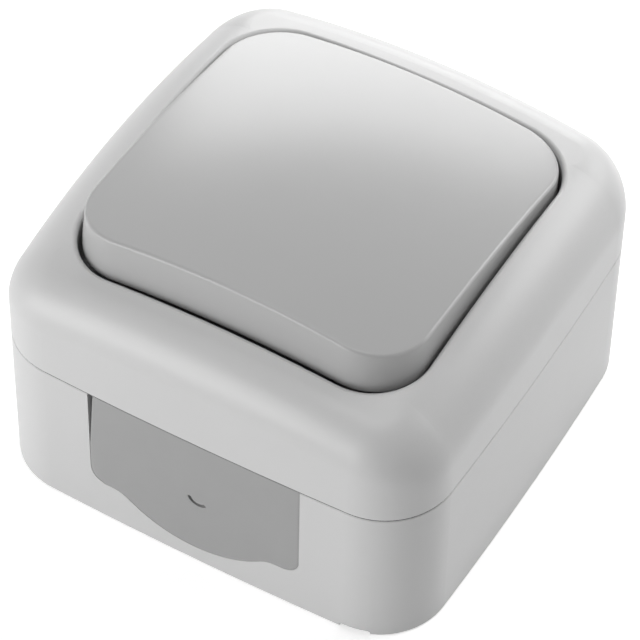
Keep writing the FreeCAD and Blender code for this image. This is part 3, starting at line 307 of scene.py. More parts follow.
# %% A finish for each slot: effect, colour, roughness, variation, grain, relief in metres, metallic
SLOTS = {
    "box_plastic": (MOULDED, grey(0.60), 0.40, 0.5, 1.0, 9e-6),
    "cover_plastic": (MOULDED, grey(0.60), 0.38, 0.5, 1.0, 8e-6),
    "key_plastic": (MOULDED, grey(0.425), 0.25, 0.4, 0.8, 4e-6),
    "membrane_rubber": (RUBBER, grey(0.335), 0.55, 0.5, 1.0, 1.2e-5),
    "seal_rubber": (RUBBER, (0.050, 0.050, 0.053), 0.60, 0.9, 1.0, 1.5e-5),
    "mechanism_plastic": (MOULDED, (0.71, 0.71, 0.68), 0.42, 0.6, 1.0, 1e-5),
    "body_plastic": (MOULDED, (0.075, 0.080, 0.090), 0.46, 0.9, 1.0, 1.6e-5),
    "plunger_plastic": (MOULDED, (0.79, 0.79, 0.75), 0.33, 0.5, 0.7, 6e-6),
    "spring_steel": (DRAWN, (0.60, 0.60, 0.61), 0.24, 0.6, 1.0, 3e-6, 1.0),
    "contact_brass": (ROLLED, (0.72, 0.52, 0.24), 0.28, 0.7, 1.0, 4e-6, 1.0),
    "contact_silver": (DRAWN, (0.82, 0.82, 0.80), 0.26, 0.5, 1.0, 3e-6, 1.0),
    "clamp_steel": (PLATED, (0.66, 0.67, 0.69), 0.34, 0.8, 1.0, 6e-6, 1.0),
    "screw_steel": (PLATED, (0.62, 0.63, 0.66), 0.30, 0.8, 1.0, 5e-6, 1.0),
}
FINISHES = {slot: finish(slot, *values) for slot, values in SLOTS.items()}
for name, node in nodes.items():
    for place in range(len(node.data.materials)):
        slot = node.data.materials[place].name.split(".")[0]
        node.data.materials[place] = FINISHES[slot]
print("finishes:", len(FINISHES), "on", len(nodes), "CAD nodes")

# %% [markdown]
# Three kinds of piece on this switch follow an outline: the skirt of the key, the seals and the seam.
# On the real moulding the outline is a square with slightly bowed sides, four long arcs and four corner
# arcs that meet tangentially. It could be a subdivided square, but then neither the bow nor the corner
# is exact and the gap round the key would wander. So the arcs are worked out as the toolmaker draws
# them, and each point keeps the direction that it faces.
# %% Bowed outline
PIVOT = 37.0
TILT = math.radians(-5.8)
KEY_HALF, KEY_CORNER, KEY_BOW = 25.85, 8.6, 1999.45
HOUSING_HALF, HOUSING_CORNER, HOUSING_BOW = 34.0, 10.4, 640.0


def bowed_outline(half, corner, bow, along=22, around=14):
    """Points of the bowed square, counter-clockwise, and the direction each one faces."""
    reach = bow - half
    span = bow - corner
    knee = (math.sqrt(2 * span * span - reach * reach) - reach) / 2
    turn = math.atan2(knee, knee + reach)
    points, facings = [], []
    for quarter in range(4):
        spin = Matrix.Rotation(math.radians(90 * quarter), 2)
        arcs = (((-reach, 0), bow, -turn, turn, along),
                ((knee, knee), corner, turn, math.pi / 2 - turn, around))
        for centre, radius, first, last, count in arcs:
            for step in range(count):
                angle = first + (last - first) * step / count
                facing = Vector((math.cos(angle), math.sin(angle)))
                points.append(spin @ (Vector(centre) + radius * facing))
                facings.append(spin @ facing)
    return points, facings


def inside_housing(inset):
    """The housing's outline, moved in from its surface."""
    return bowed_outline(HOUSING_HALF - inset, HOUSING_CORNER - inset, HOUSING_BOW - inset)[0]


key_line, key_facing = bowed_outline(KEY_HALF, KEY_CORNER, KEY_BOW)
print("key outline:", len(key_line), "points,", round(2 * max(p.x for p in key_line), 2), "mm wide")

# %% Growing a Geometry Nodes tree into a plain mesh


def new_tree(name, inputs):
    tree = bpy.data.node_groups.new(name, "GeometryNodeTree")
    into, out = add_sockets(tree, [("Geometry", "Geometry", None)] + inputs, [("Geometry", "Geometry")])
    return tree, into.outputs, out.inputs["Geometry"]


def add_node(tree, kind, properties=None, **sources):
    """A node with its properties set and its named sockets fed."""
    node = tree.nodes.new(kind)
    for name, value in (properties or {}).items():
        setattr(node, name, value)
    for name, source in sources.items():
        feed(tree, node.inputs[name.replace("_", " ")], source)
    return node


def close_tree(tree, geometry, material, out):
    """Smooth shading, real geometry in place of instances, and the piece's own finish."""
    smooth = add_node(tree, "GeometryNodeSetShadeSmooth", Geometry=geometry)
    real = add_node(tree, "GeometryNodeRealizeInstances", Geometry=smooth.outputs[0])
    coated = add_node(tree, "GeometryNodeSetMaterial", Geometry=real.outputs[0])
    coated.inputs["Material"].default_value = material
    tree.links.new(coated.outputs[0], out)


def one_finish(mesh, material):
    """Leaves the mesh a single material slot, used by all of its faces."""
    mesh.materials.clear()
    mesh.materials.append(material)
    mesh.polygons.foreach_set("material_index", np.zeros(len(mesh.polygons), dtype=np.int32))


def grow(name, tree, seed, sizes):
    """Runs the tree on a seed mesh and keeps the result as a plain mesh at the origin."""
    piece = put(name, seed)
    modifier = piece.modifiers.new(tree.name, "NODES")
    modifier.node_group = tree
    for item in tree.interface.items_tree:
        if item.in_out == "INPUT" and item.name in sizes:
            modifier[item.identifier] = sizes[item.name]
    graph = bpy.context.evaluated_depsgraph_get()
    mesh = bpy.data.meshes.new_from_object(piece.evaluated_get(graph), depsgraph=graph)
    mesh.name = name
    one_finish(mesh, [material for material in mesh.materials if material][0])
    piece.modifiers.clear()
    piece.data = mesh
    mesh.set_sharp_from_angle(angle=SHARP_FROM)
    return piece


def volume(mesh):
    """Volume in cubic millimetres. A negative one means that the faces point inwards."""
    shape = bmesh.new()
    shape.from_mesh(mesh)
    amount = shape.calc_volume(signed=True) / MM ** 3
    shape.free()
    return amount


def box_in_mm(piece):
    corners = np.array([v.co for v in piece.data.vertices]) / MM
    return [round(float(v), 2) for v in (*corners.min(0), *corners.max(0))]


# %% [markdown]
# The rocker key is the face of the switch. It is one thin shell: a barrel-shaped top, an edge eased by
# 0.4 mm, a skirt that tapers towards the top, and a hollow underneath that repeats the outside one wall
# further in. All of that is one rule, a ring that shrinks and climbs, so Geometry Nodes make it. The
# seed mesh carries two lists of points: the outline, and the section, which says for each ring how far
# in it lies, how much it has shrunk, how far it has climbed and how far it stands off.
# %% Barrel height: the rule of the key's top
BARREL = [("Top", "Float", 46.76 * MM), ("Barrel X", "Float", 133.0 * MM),
          ("Barrel Y", "Float", 199.0 * MM)]


def barrel_height():
    """Height of the barrel-shaped top over a point."""
    tree = bpy.data.node_groups.new("barrel_height", "GeometryNodeTree")
    into, out = add_sockets(tree, [("X", "Float", 0.0), ("Y", "Float", 0.0)] + BARREL,
                            [("Height", "Float")])
    across, along = into.outputs["Barrel X"], into.outputs["Barrel Y"]

    def leg(radius, side):
        return calculate(tree, "SQRT", calculate(tree, "SUBTRACT", square(tree, radius), square(tree, side)))

    girth = calculate(tree, "ADD", calculate(tree, "SUBTRACT", along, across),
                      leg(across, into.outputs["X"]))
    rise = leg(girth, into.outputs["Y"])
    foot = calculate(tree, "SUBTRACT", into.outputs["Top"], along)
    feed(tree, out.inputs["Height"], calculate(tree, "ADD", foot, rise))
    return tree


BARREL_HEIGHT = barrel_height()


def crown(tree, sizes, x, y):
    node = tree.nodes.new("GeometryNodeGroup")
    node.node_tree = BARREL_HEIGHT
    feed(tree, node.inputs["X"], x)
    feed(tree, node.inputs["Y"], y)
    for name in ("Top", "Barrel X", "Barrel Y"):
        tree.links.new(sizes[name], node.inputs[name])
    return node.outputs["Height"]


print("crown rule:", len(BARREL_HEIGHT.nodes), "nodes")

# %% Ring loft: a skin from an outline and a section


def tilted(tree, position, sizes):
    """Turns a point about the pivot, from the key's level frame to its place at rest."""
    centre = add_node(tree, "ShaderNodeCombineXYZ", Z=sizes["Pivot"])
    turn = add_node(tree, "ShaderNodeVectorRotate", {"rotation_type": "X_AXIS"}, Vector=position,
                    Center=centre.outputs[0], Angle=sizes["Tilt"])
    return turn.outputs[0]


def ring_loft(material):
    names = [("Around", "Int", 144), ("Rings", "Int", 40), ("Foot", "Float", 0.0),
             ("Foot dome", "Float", 1.0), ("Taper from", "Float", 0.0), ("Taper", "Float", 0.0),
             ("Tilt", "Float", 0.0), ("Pivot", "Float", 0.0)] + BARREL
    tree, sizes, out = new_tree("ring_loft", names)
    around = sizes["Around"]
    stride = calculate(tree, "ADD", around, 1.0)
    grid = add_node(tree, "GeometryNodeMeshGrid", Vertices_X=sizes["Rings"], Vertices_Y=stride)
    index = add_node(tree, "GeometryNodeInputIndex").outputs[0]
    ring = calculate(tree, "FLOOR", calculate(tree, "DIVIDE", calculate(tree, "ADD", index, 0.5), stride))
    place = calculate(tree, "SUBTRACT", index, calculate(tree, "MULTIPLY", ring, stride))
    place = calculate(tree, "MODULO", calculate(tree, "ADD", place, 0.25), around)
    ring = calculate(tree, "ADD", calculate(tree, "ADD", ring, 0.25), around)

    def read(name, kind, where):
        field = add_node(tree, "GeometryNodeInputNamedAttribute", {"data_type": kind}, Name=name)
        sample = add_node(tree, "GeometryNodeSampleIndex", {"data_type": kind, "domain": "POINT"},
                          Geometry=sizes["Geometry"], Index=calculate(tree, "FLOOR", where))
        tree.links.new(field.outputs["Attribute"], sample.inputs["Value"])
        return sample.outputs[0]

    line = read("line", "FLOAT_VECTOR", place)
    facing = read("facing", "FLOAT_VECTOR", place)
    inset = read("inset", "FLOAT", ring)
    shrink = read("shrink", "FLOAT", ring)
    climb = read("climb", "FLOAT", ring)
    stand = read("stand", "FLOAT", ring)

    def split(vector):
        return add_node(tree, "ShaderNodeSeparateXYZ", Vector=vector).outputs

    def climbed(x, y):
        away = calculate(tree, "ADD", square(tree, x), square(tree, y))
        sag = calculate(tree, "DIVIDE", away, calculate(tree, "MULTIPLY", sizes["Foot dome"], 2.0))
        foot = calculate(tree, "SUBTRACT", sizes["Foot"], sag)
        height = calculate(tree, "ADD", crown(tree, sizes, x, y), stand)
        height = calculate(tree, "MULTIPLY", calculate(tree, "SUBTRACT", height, foot), climb)
        return calculate(tree, "ADD", foot, height)

    start = split(line)
    first = climbed(start["X"], start["Y"])
    above = calculate(tree, "MAXIMUM", calculate(tree, "SUBTRACT", first, sizes["Taper from"]), 0.0)
    inward = calculate(tree, "ADD", inset, calculate(tree, "MULTIPLY", above, sizes["Taper"]))
    step = vector_math(tree, "SCALE", facing, scale=inward)
    moved = vector_math(tree, "SUBTRACT", line, step)
    flat = split(vector_math(tree, "SCALE", moved, scale=shrink))
    position = add_node(tree, "ShaderNodeCombineXYZ", X=flat["X"], Y=flat["Y"],
                        Z=climbed(flat["X"], flat["Y"]))
    shaped = add_node(tree, "GeometryNodeSetPosition", Geometry=grid.outputs["Mesh"],
                      Position=tilted(tree, position.outputs[0], sizes))
    merged = add_node(tree, "GeometryNodeMergeByDistance", Geometry=shaped.outputs[0], Distance=2e-6)
    close_tree(tree, merged.outputs[0], material, out)
    return tree


LOFT = ring_loft(FINISHES["key_plastic"])
print("ring loft:", len(LOFT.nodes), "nodes")

# %% Section of the key, from the crown over the edge, down the skirt and back up inside
EDGE = 0.42
WALL = 1.7
ROOF = 1.8
KEY_FOOT = 40.22
FOOT_DOME = 167
TAPER_FROM = 39.7
TAPER = math.tan(math.radians(3.1))


def key_section():
    """One row for each ring: inset, shrink, climb and stand-off, lengths in millimetres."""
    shares = (0.0, 0.03, *np.linspace(0.1, 0.9, 17), 0.94, 0.97, 0.985)
    rows = [(EDGE, share, 1.0, 0.0) for share in shares]
    for step in range(8):
        angle = math.radians(90 * step / 7)
        rows.append((EDGE * (1 - math.sin(angle)), 1.0, 1.0, -EDGE * (1 - math.cos(angle))))
    rows += [(0.0, 1.0, climb, -EDGE) for climb in (0.8, 0.6, 0.45, 0.3, 0.2, 0.1, 0.05, 0.03)]
    rows += [(0.03, 1.0, 0.012, -EDGE), (0.10, 1.0, 0.0, -EDGE), (WALL - 0.2, 1.0, 0.0, -EDGE),
             (WALL, 1.0, 0.04, -EDGE)]
    rows += [(WALL, 1.0, climb, -ROOF) for climb in (0.3, 0.6, 0.85, 0.95)]
    rows += [(WALL + 0.35, 1.0, 1.0, -ROOF)]
    rows += [(WALL + 0.35, share, 1.0, -ROOF) for share in (0.95, 0.85, 0.7, 0.55, 0.4, 0.25, 0.1, 0.0)]
    return rows


def loft_seed(name, points, facings, rows):
    """A mesh of loose points: first the outline, then the section."""
    mesh = bpy.data.meshes.new(name)
    mesh.vertices.add(len(points) + len(rows))
    count = len(points)
    for field, values in (("line", points), ("facing", facings)):
        layer = mesh.attributes.new(field, "FLOAT_VECTOR", "POINT")
        factor = MM if field == "line" else 1.0
        for place, value in enumerate(values):
            layer.data[place].vector = (value[0] * factor, value[1] * factor, 0)
    columns = (("inset", MM), ("shrink", 1.0), ("climb", 1.0), ("stand", MM))
    for column, (field, factor) in enumerate(columns):
        layer = mesh.attributes.new(field, "FLOAT", "POINT")
        for place, row in enumerate(rows):
            layer.data[count + place].value = row[column] * factor
    return mesh


rows = key_section()
seed = loft_seed("key_seed", key_line, key_facing, rows)
key_sizes = {"Around": len(key_line), "Rings": len(rows), "Foot": KEY_FOOT * MM,
             "Foot dome": FOOT_DOME * MM, "Taper from": TAPER_FROM * MM, "Taper": TAPER, "Tilt": TILT,
             "Pivot": PIVOT * MM}
key_skin = grow("key_skin", LOFT, seed, key_sizes)
print("key skin:", len(key_skin.data.polygons), "faces,", box_in_mm(key_skin), "mm,",
      round(volume(key_skin.data)), "cubic mm")

# %% [markdown]
# Under the roof of the key stand the ribs that stiffen it and the two claws that snap into the carrier.
# Each rib is a thin wall whose foot is level and whose top follows the same barrel as the roof. It is
# one short tree again, a line swept with a slim rectangle, whose upper points are lifted to the roof.
# %% Ribs that reach up to the roof


def rib_tree(material):
    names = [("Start", "Vector", None), ("End", "Vector", None), ("Thickness", "Float", 1.2 * MM),
             ("Foot", "Float", 38.6 * MM), ("Under", "Float", 0.9 * MM), ("Tilt", "Float", 0.0),
             ("Pivot", "Float", 0.0)] + BARREL
    tree, sizes, out = new_tree("key_rib", names)
    line = add_node(tree, "GeometryNodeCurvePrimitiveLine", Start=sizes["Start"], End=sizes["End"])
    steps = add_node(tree, "GeometryNodeResampleCurve", Curve=line.outputs[0], Count=24)
    section = add_node(tree, "GeometryNodeCurvePrimitiveQuadrilateral", Width=sizes["Thickness"],
                       Height=2 * MM)
    eased = add_node(tree, "GeometryNodeFilletCurve", {"mode": "POLY"}, Curve=section.outputs[0], Count=2,
                     Radius=0.15 * MM)
    wall = add_node(tree, "GeometryNodeCurveToMesh", Curve=steps.outputs[0],
                    Profile_Curve=eased.outputs[0], Fill_Caps=True)
    place = add_node(tree, "GeometryNodeInputPosition").outputs[0]
    flat = add_node(tree, "ShaderNodeSeparateXYZ", Vector=place).outputs
    roof = calculate(tree, "SUBTRACT", crown(tree, sizes, flat["X"], flat["Y"]), sizes["Under"])
    upper = calculate(tree, "GREATER_THAN", flat["Z"], 0.0)
    level = add_node(tree, "ShaderNodeMix", {"data_type": "FLOAT"}, Factor=upper)
    feed(tree, level.inputs["A"],
         calculate(tree, "ADD", sizes["Foot"], calculate(tree, "ADD", flat["Z"], MM)))
    feed(tree, level.inputs["B"], calculate(tree, "ADD", roof, calculate(tree, "SUBTRACT", flat["Z"], MM)))
    raised = add_node(tree, "ShaderNodeCombineXYZ", X=flat["X"], Y=flat["Y"], Z=level.outputs["Result"])
    shaped = add_node(tree, "GeometryNodeSetPosition", Geometry=wall.outputs[0],
                      Position=tilted(tree, raised.outputs[0], sizes))
    close_tree(tree, shaped.outputs[0], material, out)
    return tree


RIB = rib_tree(FINISHES["key_plastic"])
LONG, SHORT = 23.6, 11.5
LOW_FOOT, HIGH_FOOT = 38.6, 42.6
RIBS = [((x, -LONG), (x, LONG), LOW_FOOT) for x in (-16, 16)]
RIBS += [((-LONG, y), (LONG, y), LOW_FOOT) for y in (-14, 14)]
RIBS += [((x, -SHORT), (x, SHORT), HIGH_FOOT) for x in (-6, 6)]
key_parts = [key_skin]
for number, (start, end, foot) in enumerate(RIBS):
    rib_sizes = {"Start": (start[0] * MM, start[1] * MM, 0), "End": (end[0] * MM, end[1] * MM, 0),
                 "Foot": foot * MM, "Tilt": TILT, "Pivot": PIVOT * MM}
    key_parts.append(grow("key_rib_%d" % number, RIB, bpy.data.meshes.new("rib_seed"), rib_sizes))
print("ribs:", len(RIBS), "first:", box_in_mm(key_parts[1]), "mm,",
      round(volume(key_parts[1].data), 1), "cubic mm")

# %% Claws, with a hook that is chamfered so that it snaps in


def prism(name, outline, low, high, material):
    """A closed prism between two values of X from an outline in Y and Z, in millimetres."""
    shape = bmesh.new()
    rings = [[shape.verts.new((x * MM, y * MM, z * MM)) for y, z in outline] for x in (low, high)]
    shape.faces.new(rings[0])
    shape.faces.new(rings[1])
    for place in range(len(outline)):
        following = (place + 1) % len(outline)
        shape.faces.new((rings[0][place], rings[0][following], rings[1][following], rings[1][place]))
    bmesh.ops.recalc_face_normals(shape, faces=shape.faces)
    bmesh.ops.bevel(shape, geom=shape.edges, offset=CLAW_EASE * MM, segments=2, affect="EDGES", profile=0.5)
    mesh = bpy.data.meshes.new(name)
    shape.to_mesh(mesh)
    shape.free()
    mesh.materials.append(material)
    return put(name, mesh)


def join(name, pieces):
    """Makes one mesh of several, and leaves one object."""
    shape = bmesh.new()
    for piece in pieces:
        shape.from_mesh(piece.data)
    first, others = pieces[0], pieces[1:]
    mesh = bpy.data.meshes.new(name)
    shape.to_mesh(mesh)
    shape.free()
    one_finish(mesh, first.data.materials[0])
    for piece in others:
        bpy.data.objects.remove(piece)
    first.data = mesh
    first.name = name
    mesh.shade_smooth()
    mesh.set_sharp_from_angle(angle=SHARP_FROM)
    return first


CLAW = [(9.6, 45.3), (9.6, 40.0), (10.9, 40.0), (11.7, 40.95), (11.0, 40.95), (11.0, 45.0)]
CLAW_HALF, CLAW_EASE = 3.0, 0.12
rest_turn = (Matrix.Translation((0, 0, PIVOT * MM)) @ Matrix.Rotation(TILT, 4, "X")
             @ Matrix.Translation((0, 0, -PIVOT * MM)))
for side in (1, -1):
    profile = [(side * y, z) for y, z in CLAW]
    claw = prism("claw", profile, -CLAW_HALF, CLAW_HALF, FINISHES["key_plastic"])
    claw.data.transform(rest_turn)
    key_parts.append(claw)
rocker_key = join("rocker_key_skin", key_parts)
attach(rocker_key, "rocker")
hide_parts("rocker_key")
print("rocker key:", len(rocker_key.data.polygons), "faces,", box_in_mm(rocker_key), "mm")

# %% [markdown]
# The seals are soft rings that follow an outline: the gasket between the two halves of the housing, the
# ring between the mechanism and the cover, and the two washers under the cover screws. A moulded rubber
# ring has no sharp corner, so one tree sweeps a rectangle with well rounded corners along any outline.
# A thin lip of the same dark rubber sits in the joint between cover and box as painted shade, so the joint
# reads as a dark line.
# %% One tree for every seal


def seal_tree(material):
    names = [("Width", "Float", MM), ("Height", "Float", MM), ("Roundness", "Float", 0.2 * MM)]
    tree, sizes, out = new_tree("seal_along_outline", names)
    path = add_node(tree, "GeometryNodeMeshToCurve")
    tree.links.new(sizes["Geometry"], path.inputs[0])
    upright = add_node(tree, "GeometryNodeSetCurveNormal", {"mode": "Z_UP"}, Curve=path.outputs[0])
    section = add_node(tree, "GeometryNodeCurvePrimitiveQuadrilateral", Width=sizes["Width"],
                       Height=sizes["Height"])
    soft = add_node(tree, "GeometryNodeFilletCurve", {"mode": "POLY"}, Curve=section.outputs[0], Count=4,
                    Radius=sizes["Roundness"])
    ring = add_node(tree, "GeometryNodeCurveToMesh", Curve=upright.outputs[0], Profile_Curve=soft.outputs[0])
    close_tree(tree, ring.outputs[0], material, out)
    return tree


SEAL = seal_tree(FINISHES["seal_rubber"])


def closed_path(name, points, height):
    """A loop of edges at one height, in millimetres."""
    mesh = bpy.data.meshes.new(name)
    count = len(points)
    mesh.from_pydata([(x * MM, y * MM, height * MM) for x, y in points],
                     [(place, (place + 1) % count) for place in range(count)], [])
    return mesh


def round_rectangle(half_x, half_y, corner, around=8):
    points = []
    for quarter, (x, y) in enumerate(((1, 1), (-1, 1), (-1, -1), (1, -1))):
        for step in range(around + 1):
            angle = math.radians(90 * quarter + 90 * step / around)
            points.append((x * (half_x - corner) + corner * math.cos(angle),
                           y * (half_y - corner) + corner * math.sin(angle)))
    return points


def ring_of(radius, x, y, steps=48):
    return [(x + radius * math.cos(2 * math.pi * k / steps), y + radius * math.sin(2 * math.pi * k / steps))
            for k in range(steps)]


def seal(name, points, low, high, width, roundness):
    sizes = {"Width": width * MM, "Height": (high - low) * MM, "Roundness": roundness * MM}
    return grow(name, SEAL, closed_path(name + "_path", points, (low + high) / 2), sizes)


# %% The four seals and the dark lip of painted shade in the joint: outline, foot, top, width and roundness in millimetres
gasket = seal("gasket_ring", inside_housing(1.65), 26.8, 28.35, 1.0, 0.3)
# The lip is dark rubber set in the joint where there is only shade: painted shade that makes the joint a dark
# line.
painted_shade_lip = seal("painted_shade_lip", inside_housing(0.44), 25.305, 25.415, 0.7, 0.02)
gasket = join("housing_gasket_and_painted_shade_lip", [gasket, painted_shade_lip])
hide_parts("housing_gasket")
collar_seal = seal("collar_seal", round_rectangle(14.7, 12.7, 2.5), 28.0, 30.5, 2.0, 0.45)
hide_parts("rocker_seal")
washers = []
for side, x, y in (("left", -21.5, 21.5), ("right", 21.5, -21.5)):
    washer = seal("screw_washer_" + side, ring_of(2.4, x, y), 30.0, 30.8, 1.2, 0.28)
    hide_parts("screw_seal_" + side)
    washers.append(washer)
for piece in (gasket, collar_seal, *washers):
    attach(piece, "housing")
    print(piece.name, box_in_mm(piece), "mm,", round(volume(piece.data), 1), "cubic mm")

# %% [markdown]
# The cable membrane is a soft plug in the lower wall. It follows the bowed wall, so it lies flush, and
# its left edge leans away from the wall and leaves the dark wedge that the photograph shows. A lip holds
# it from inside, a round thin zone takes the cable, and a small arc is cut into that zone as a start for
# the blade. All of these are rings round one point, from the middle of the arc out over the edge and
# back inside, so the piece is lofted ring by ring and needs no boolean cuts.
# %% Outline of the window
MARK = (0.9, 14.25)
BULGE, BULGE_AT, NECK, TURN = 17.5, 20.6, 4.0, 2.6
LEAN_FROM, LEAN_TO = 14.5, 25.3


def arc_points(x, z, radius, first, last, steps):
    angles = [math.radians(first + (last - first) * k / steps) for k in range(steps + 1)]
    return [(x + radius * math.cos(a), z + radius * math.sin(a)) for a in angles]


def window_outline(half, ledge, top, lean):
    """Window from its top right corner, clockwise as seen from the front."""
    neck_x = math.sqrt((BULGE + NECK) ** 2 - (BULGE_AT - ledge + NECK) ** 2)
    slope = math.degrees(math.atan2(BULGE_AT - ledge + NECK, neck_x))
    points = [(half, top)]
    points += arc_points(half - TURN, ledge + TURN, TURN, 0, -90, 8)
    points += arc_points(neck_x, ledge - NECK, NECK, 90, 180 - slope, 6)
    points += arc_points(0, BULGE_AT, BULGE, -slope, slope - 180, 30)
    points += arc_points(-neck_x, ledge - NECK, NECK, slope, 90, 6)
    points += arc_points(TURN - half, ledge + TURN, TURN, 270, 180, 8)
    points += [(-half, LEAN_FROM), (lean - half, LEAN_TO), (lean - half, top)]
    return points


WINDOWS = {"face": window_outline(16.5, 7.4, 25.37, 0.8), "tongue": window_outline(16.5, 7.4, 26.75, 0.8),
           "lip": window_outline(17.7, 6.2, 24.8, 1.9)}


def bearing(point):
    return math.atan2(point[1] - MARK[1], point[0] - MARK[0])


corners = [bearing(outline[place]) for outline in WINDOWS.values() for place in (0, -1, -2, -3)]
spread = {round(angle, 4) for angle in [*np.linspace(-math.pi, math.pi, 181)[:-1], *corners]}
BEARINGS = sorted(spread)


def reach_of(outline):
    """Distance from the middle of the arc to the outline, along each bearing."""
    distances = []
    for angle in BEARINGS:
        ray = (math.cos(angle), math.sin(angle))
        best = 0.0
        for (ax, az), (bx, bz) in zip(outline, outline[1:] + outline[:1]):
            side = (bx - ax, bz - az)
            cross = ray[0] * side[1] - ray[1] * side[0]
            if abs(cross) < 1e-12:
                continue
            gap = (ax - MARK[0], az - MARK[1])
            along = (gap[0] * side[1] - gap[1] * side[0]) / cross
            share = (gap[0] * ray[1] - gap[1] * ray[0]) / cross
            if along > 0 and -1e-6 <= share <= 1 + 1e-6:
                best = max(best, along)
        distances.append(best)
    return np.array(distances)


REACH = {name: reach_of(outline) for name, outline in WINDOWS.items()}
print("window bearings:", len(BEARINGS), "reach in mm:", round(REACH["face"].min(), 2), "to",
      round(REACH["face"].max(), 2))

# %% Loft of the membrane
CABLE_ZONE, RECESS, THIN, TONGUE, BACK = 7.3, 8.0, 1.2, 2.2, 3.4


def in_arc(angle, first=188.0, last=318.0, soft=14.0):
    """1 inside the cut arc, falling to 0 at its two ends."""
    turn = math.degrees(angle) % 360
    return max(0.0, min(1.0, (turn - first) / soft, (last - turn) / soft))


def membrane_rings():
    """Two values for each bearing of each ring: distance from the middle, depth under the face."""
    cut = np.array([in_arc(angle) for angle in BEARINGS])
    face, tongue, lip = REACH["face"], REACH["tongue"], REACH["lip"]
    rings = [(0.5, 0), (1.0, 0), (1.16, cut * 0.02), (1.24, cut * 0.75), (1.45, cut * 0.95),
             (1.66, cut * 0.75), (1.74, cut * 0.02), (1.9, 0)]
    rings += [(radius, 0) for radius in (3.0, 4.5, 6.0, CABLE_ZONE)]
    rings += [(CABLE_ZONE + (face - 0.4 - CABLE_ZONE) * share, 0) for share in (0.25, 0.5, 0.75, 1.0)]
    rings += [(face - 0.12, 0.01), (face - 0.035, 0.05), (face, 0.14), (face, THIN)]
    rings += [(tongue, THIN), (tongue, TONGUE), (lip - 0.1, TONGUE), (lip, 2.3), (lip, 3.25)]
    rings += [(lip - 0.15, BACK), (lip - 0.6, BACK)]
    rings += [(RECESS + (lip - 0.6 - RECESS) * share, BACK) for share in (0.66, 0.33, 0.06)]
    rings += [(RECESS, 3.3), (7.9, 1.35), (7.7, THIN)]
    for radius in (6.2, 4.6, 3.0):
        rings += [(radius + 0.25, THIN), (radius, 1.4), (radius - 0.25, THIN)]
    rings += [(1.5, THIN)]
    full = np.ones(len(BEARINGS))
    return [(full * distance, full * depth) for distance, depth in rings]


def wall_face(x, depth):
    """Y of the bowed lower wall, a given depth under its face."""
    radius = HOUSING_BOW - depth
    return HOUSING_BOW - HOUSING_HALF - math.sqrt(radius * radius - x * x)


def membrane_skin():
    shape = bmesh.new()
    rings = []
    for distances, depths in membrane_rings():
        ring = []
        for angle, distance, depth in zip(BEARINGS, distances, depths):
            x = MARK[0] + distance * math.cos(angle)
            z = MARK[1] + distance * math.sin(angle)
            ring.append(shape.verts.new((x * MM, wall_face(x, float(depth)) * MM, z * MM)))
        rings.append(ring)
    front = shape.verts.new((MARK[0] * MM, wall_face(MARK[0], 0) * MM, MARK[1] * MM))
    rear = shape.verts.new((MARK[0] * MM, wall_face(MARK[0], THIN) * MM, MARK[1] * MM))
    count = len(BEARINGS)
    for place in range(count):
        following = (place + 1) % count
        shape.faces.new((front, rings[0][place], rings[0][following]))
        shape.faces.new((rear, rings[-1][following], rings[-1][place]))
        for inner, outer in zip(rings, rings[1:]):
            shape.faces.new((inner[place], outer[place], outer[following], inner[following]))
    bmesh.ops.remove_doubles(shape, verts=shape.verts, dist=1e-7)
    bmesh.ops.recalc_face_normals(shape, faces=shape.faces)
    mesh = bpy.data.meshes.new("membrane_skin")
    shape.to_mesh(mesh)
    shape.free()
    mesh.materials.append(FINISHES["membrane_rubber"])
    mesh.shade_smooth()
    mesh.set_sharp_from_angle(angle=SHARP_FROM)
    return put("membrane_skin", mesh)


membrane = membrane_skin()
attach(membrane, "housing")
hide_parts("cable_membrane")
print("membrane:", len(membrane.data.polygons), "faces,", box_in_mm(membrane), "mm,",
      round(volume(membrane.data)), "cubic mm")

# %% [markdown]
# The CAD screws are plain rods with a head. Their threads repeat one shape along a path, so a tree
# sweeps a small ridge along a spiral and sets one spiral at each screw. The seed mesh is a point for
# each screw, at the foot of its thread.
# %% Threads on the screws


def wound(tree, sizes, turns, steps, sides, thickness):
    """A slim rod along a spiral of the tree's own Radius and Length."""
    spiral = add_node(tree, "GeometryNodeCurveSpiral", Resolution=steps, Rotations=turns,
                      Height=sizes["Length"], Start_Radius=sizes["Radius"], End_Radius=sizes["Radius"])
    section = add_node(tree, "GeometryNodeCurvePrimitiveCircle", Resolution=sides, Radius=thickness)
    rod = add_node(tree, "GeometryNodeCurveToMesh", Curve=spiral.outputs[0],
                   Profile_Curve=section.outputs[0], Fill_Caps=True)
    return rod.outputs[0]


def thread_tree(material):
    names = [("Radius", "Float", MM), ("Ridge", "Float", 0.2 * MM), ("Pitch", "Float", MM),
             ("Length", "Float", MM)]
    tree, sizes, out = new_tree("screw_thread", names)
    turns = calculate(tree, "DIVIDE", sizes["Length"], sizes["Pitch"])
    thread = wound(tree, sizes, turns, 18, 4, sizes["Ridge"])
    stood = add_node(tree, "GeometryNodeInstanceOnPoints", Points=sizes["Geometry"], Instance=thread)
    close_tree(tree, stood.outputs[0], material, out)
    return tree


THREAD = thread_tree(FINISHES["screw_steel"])
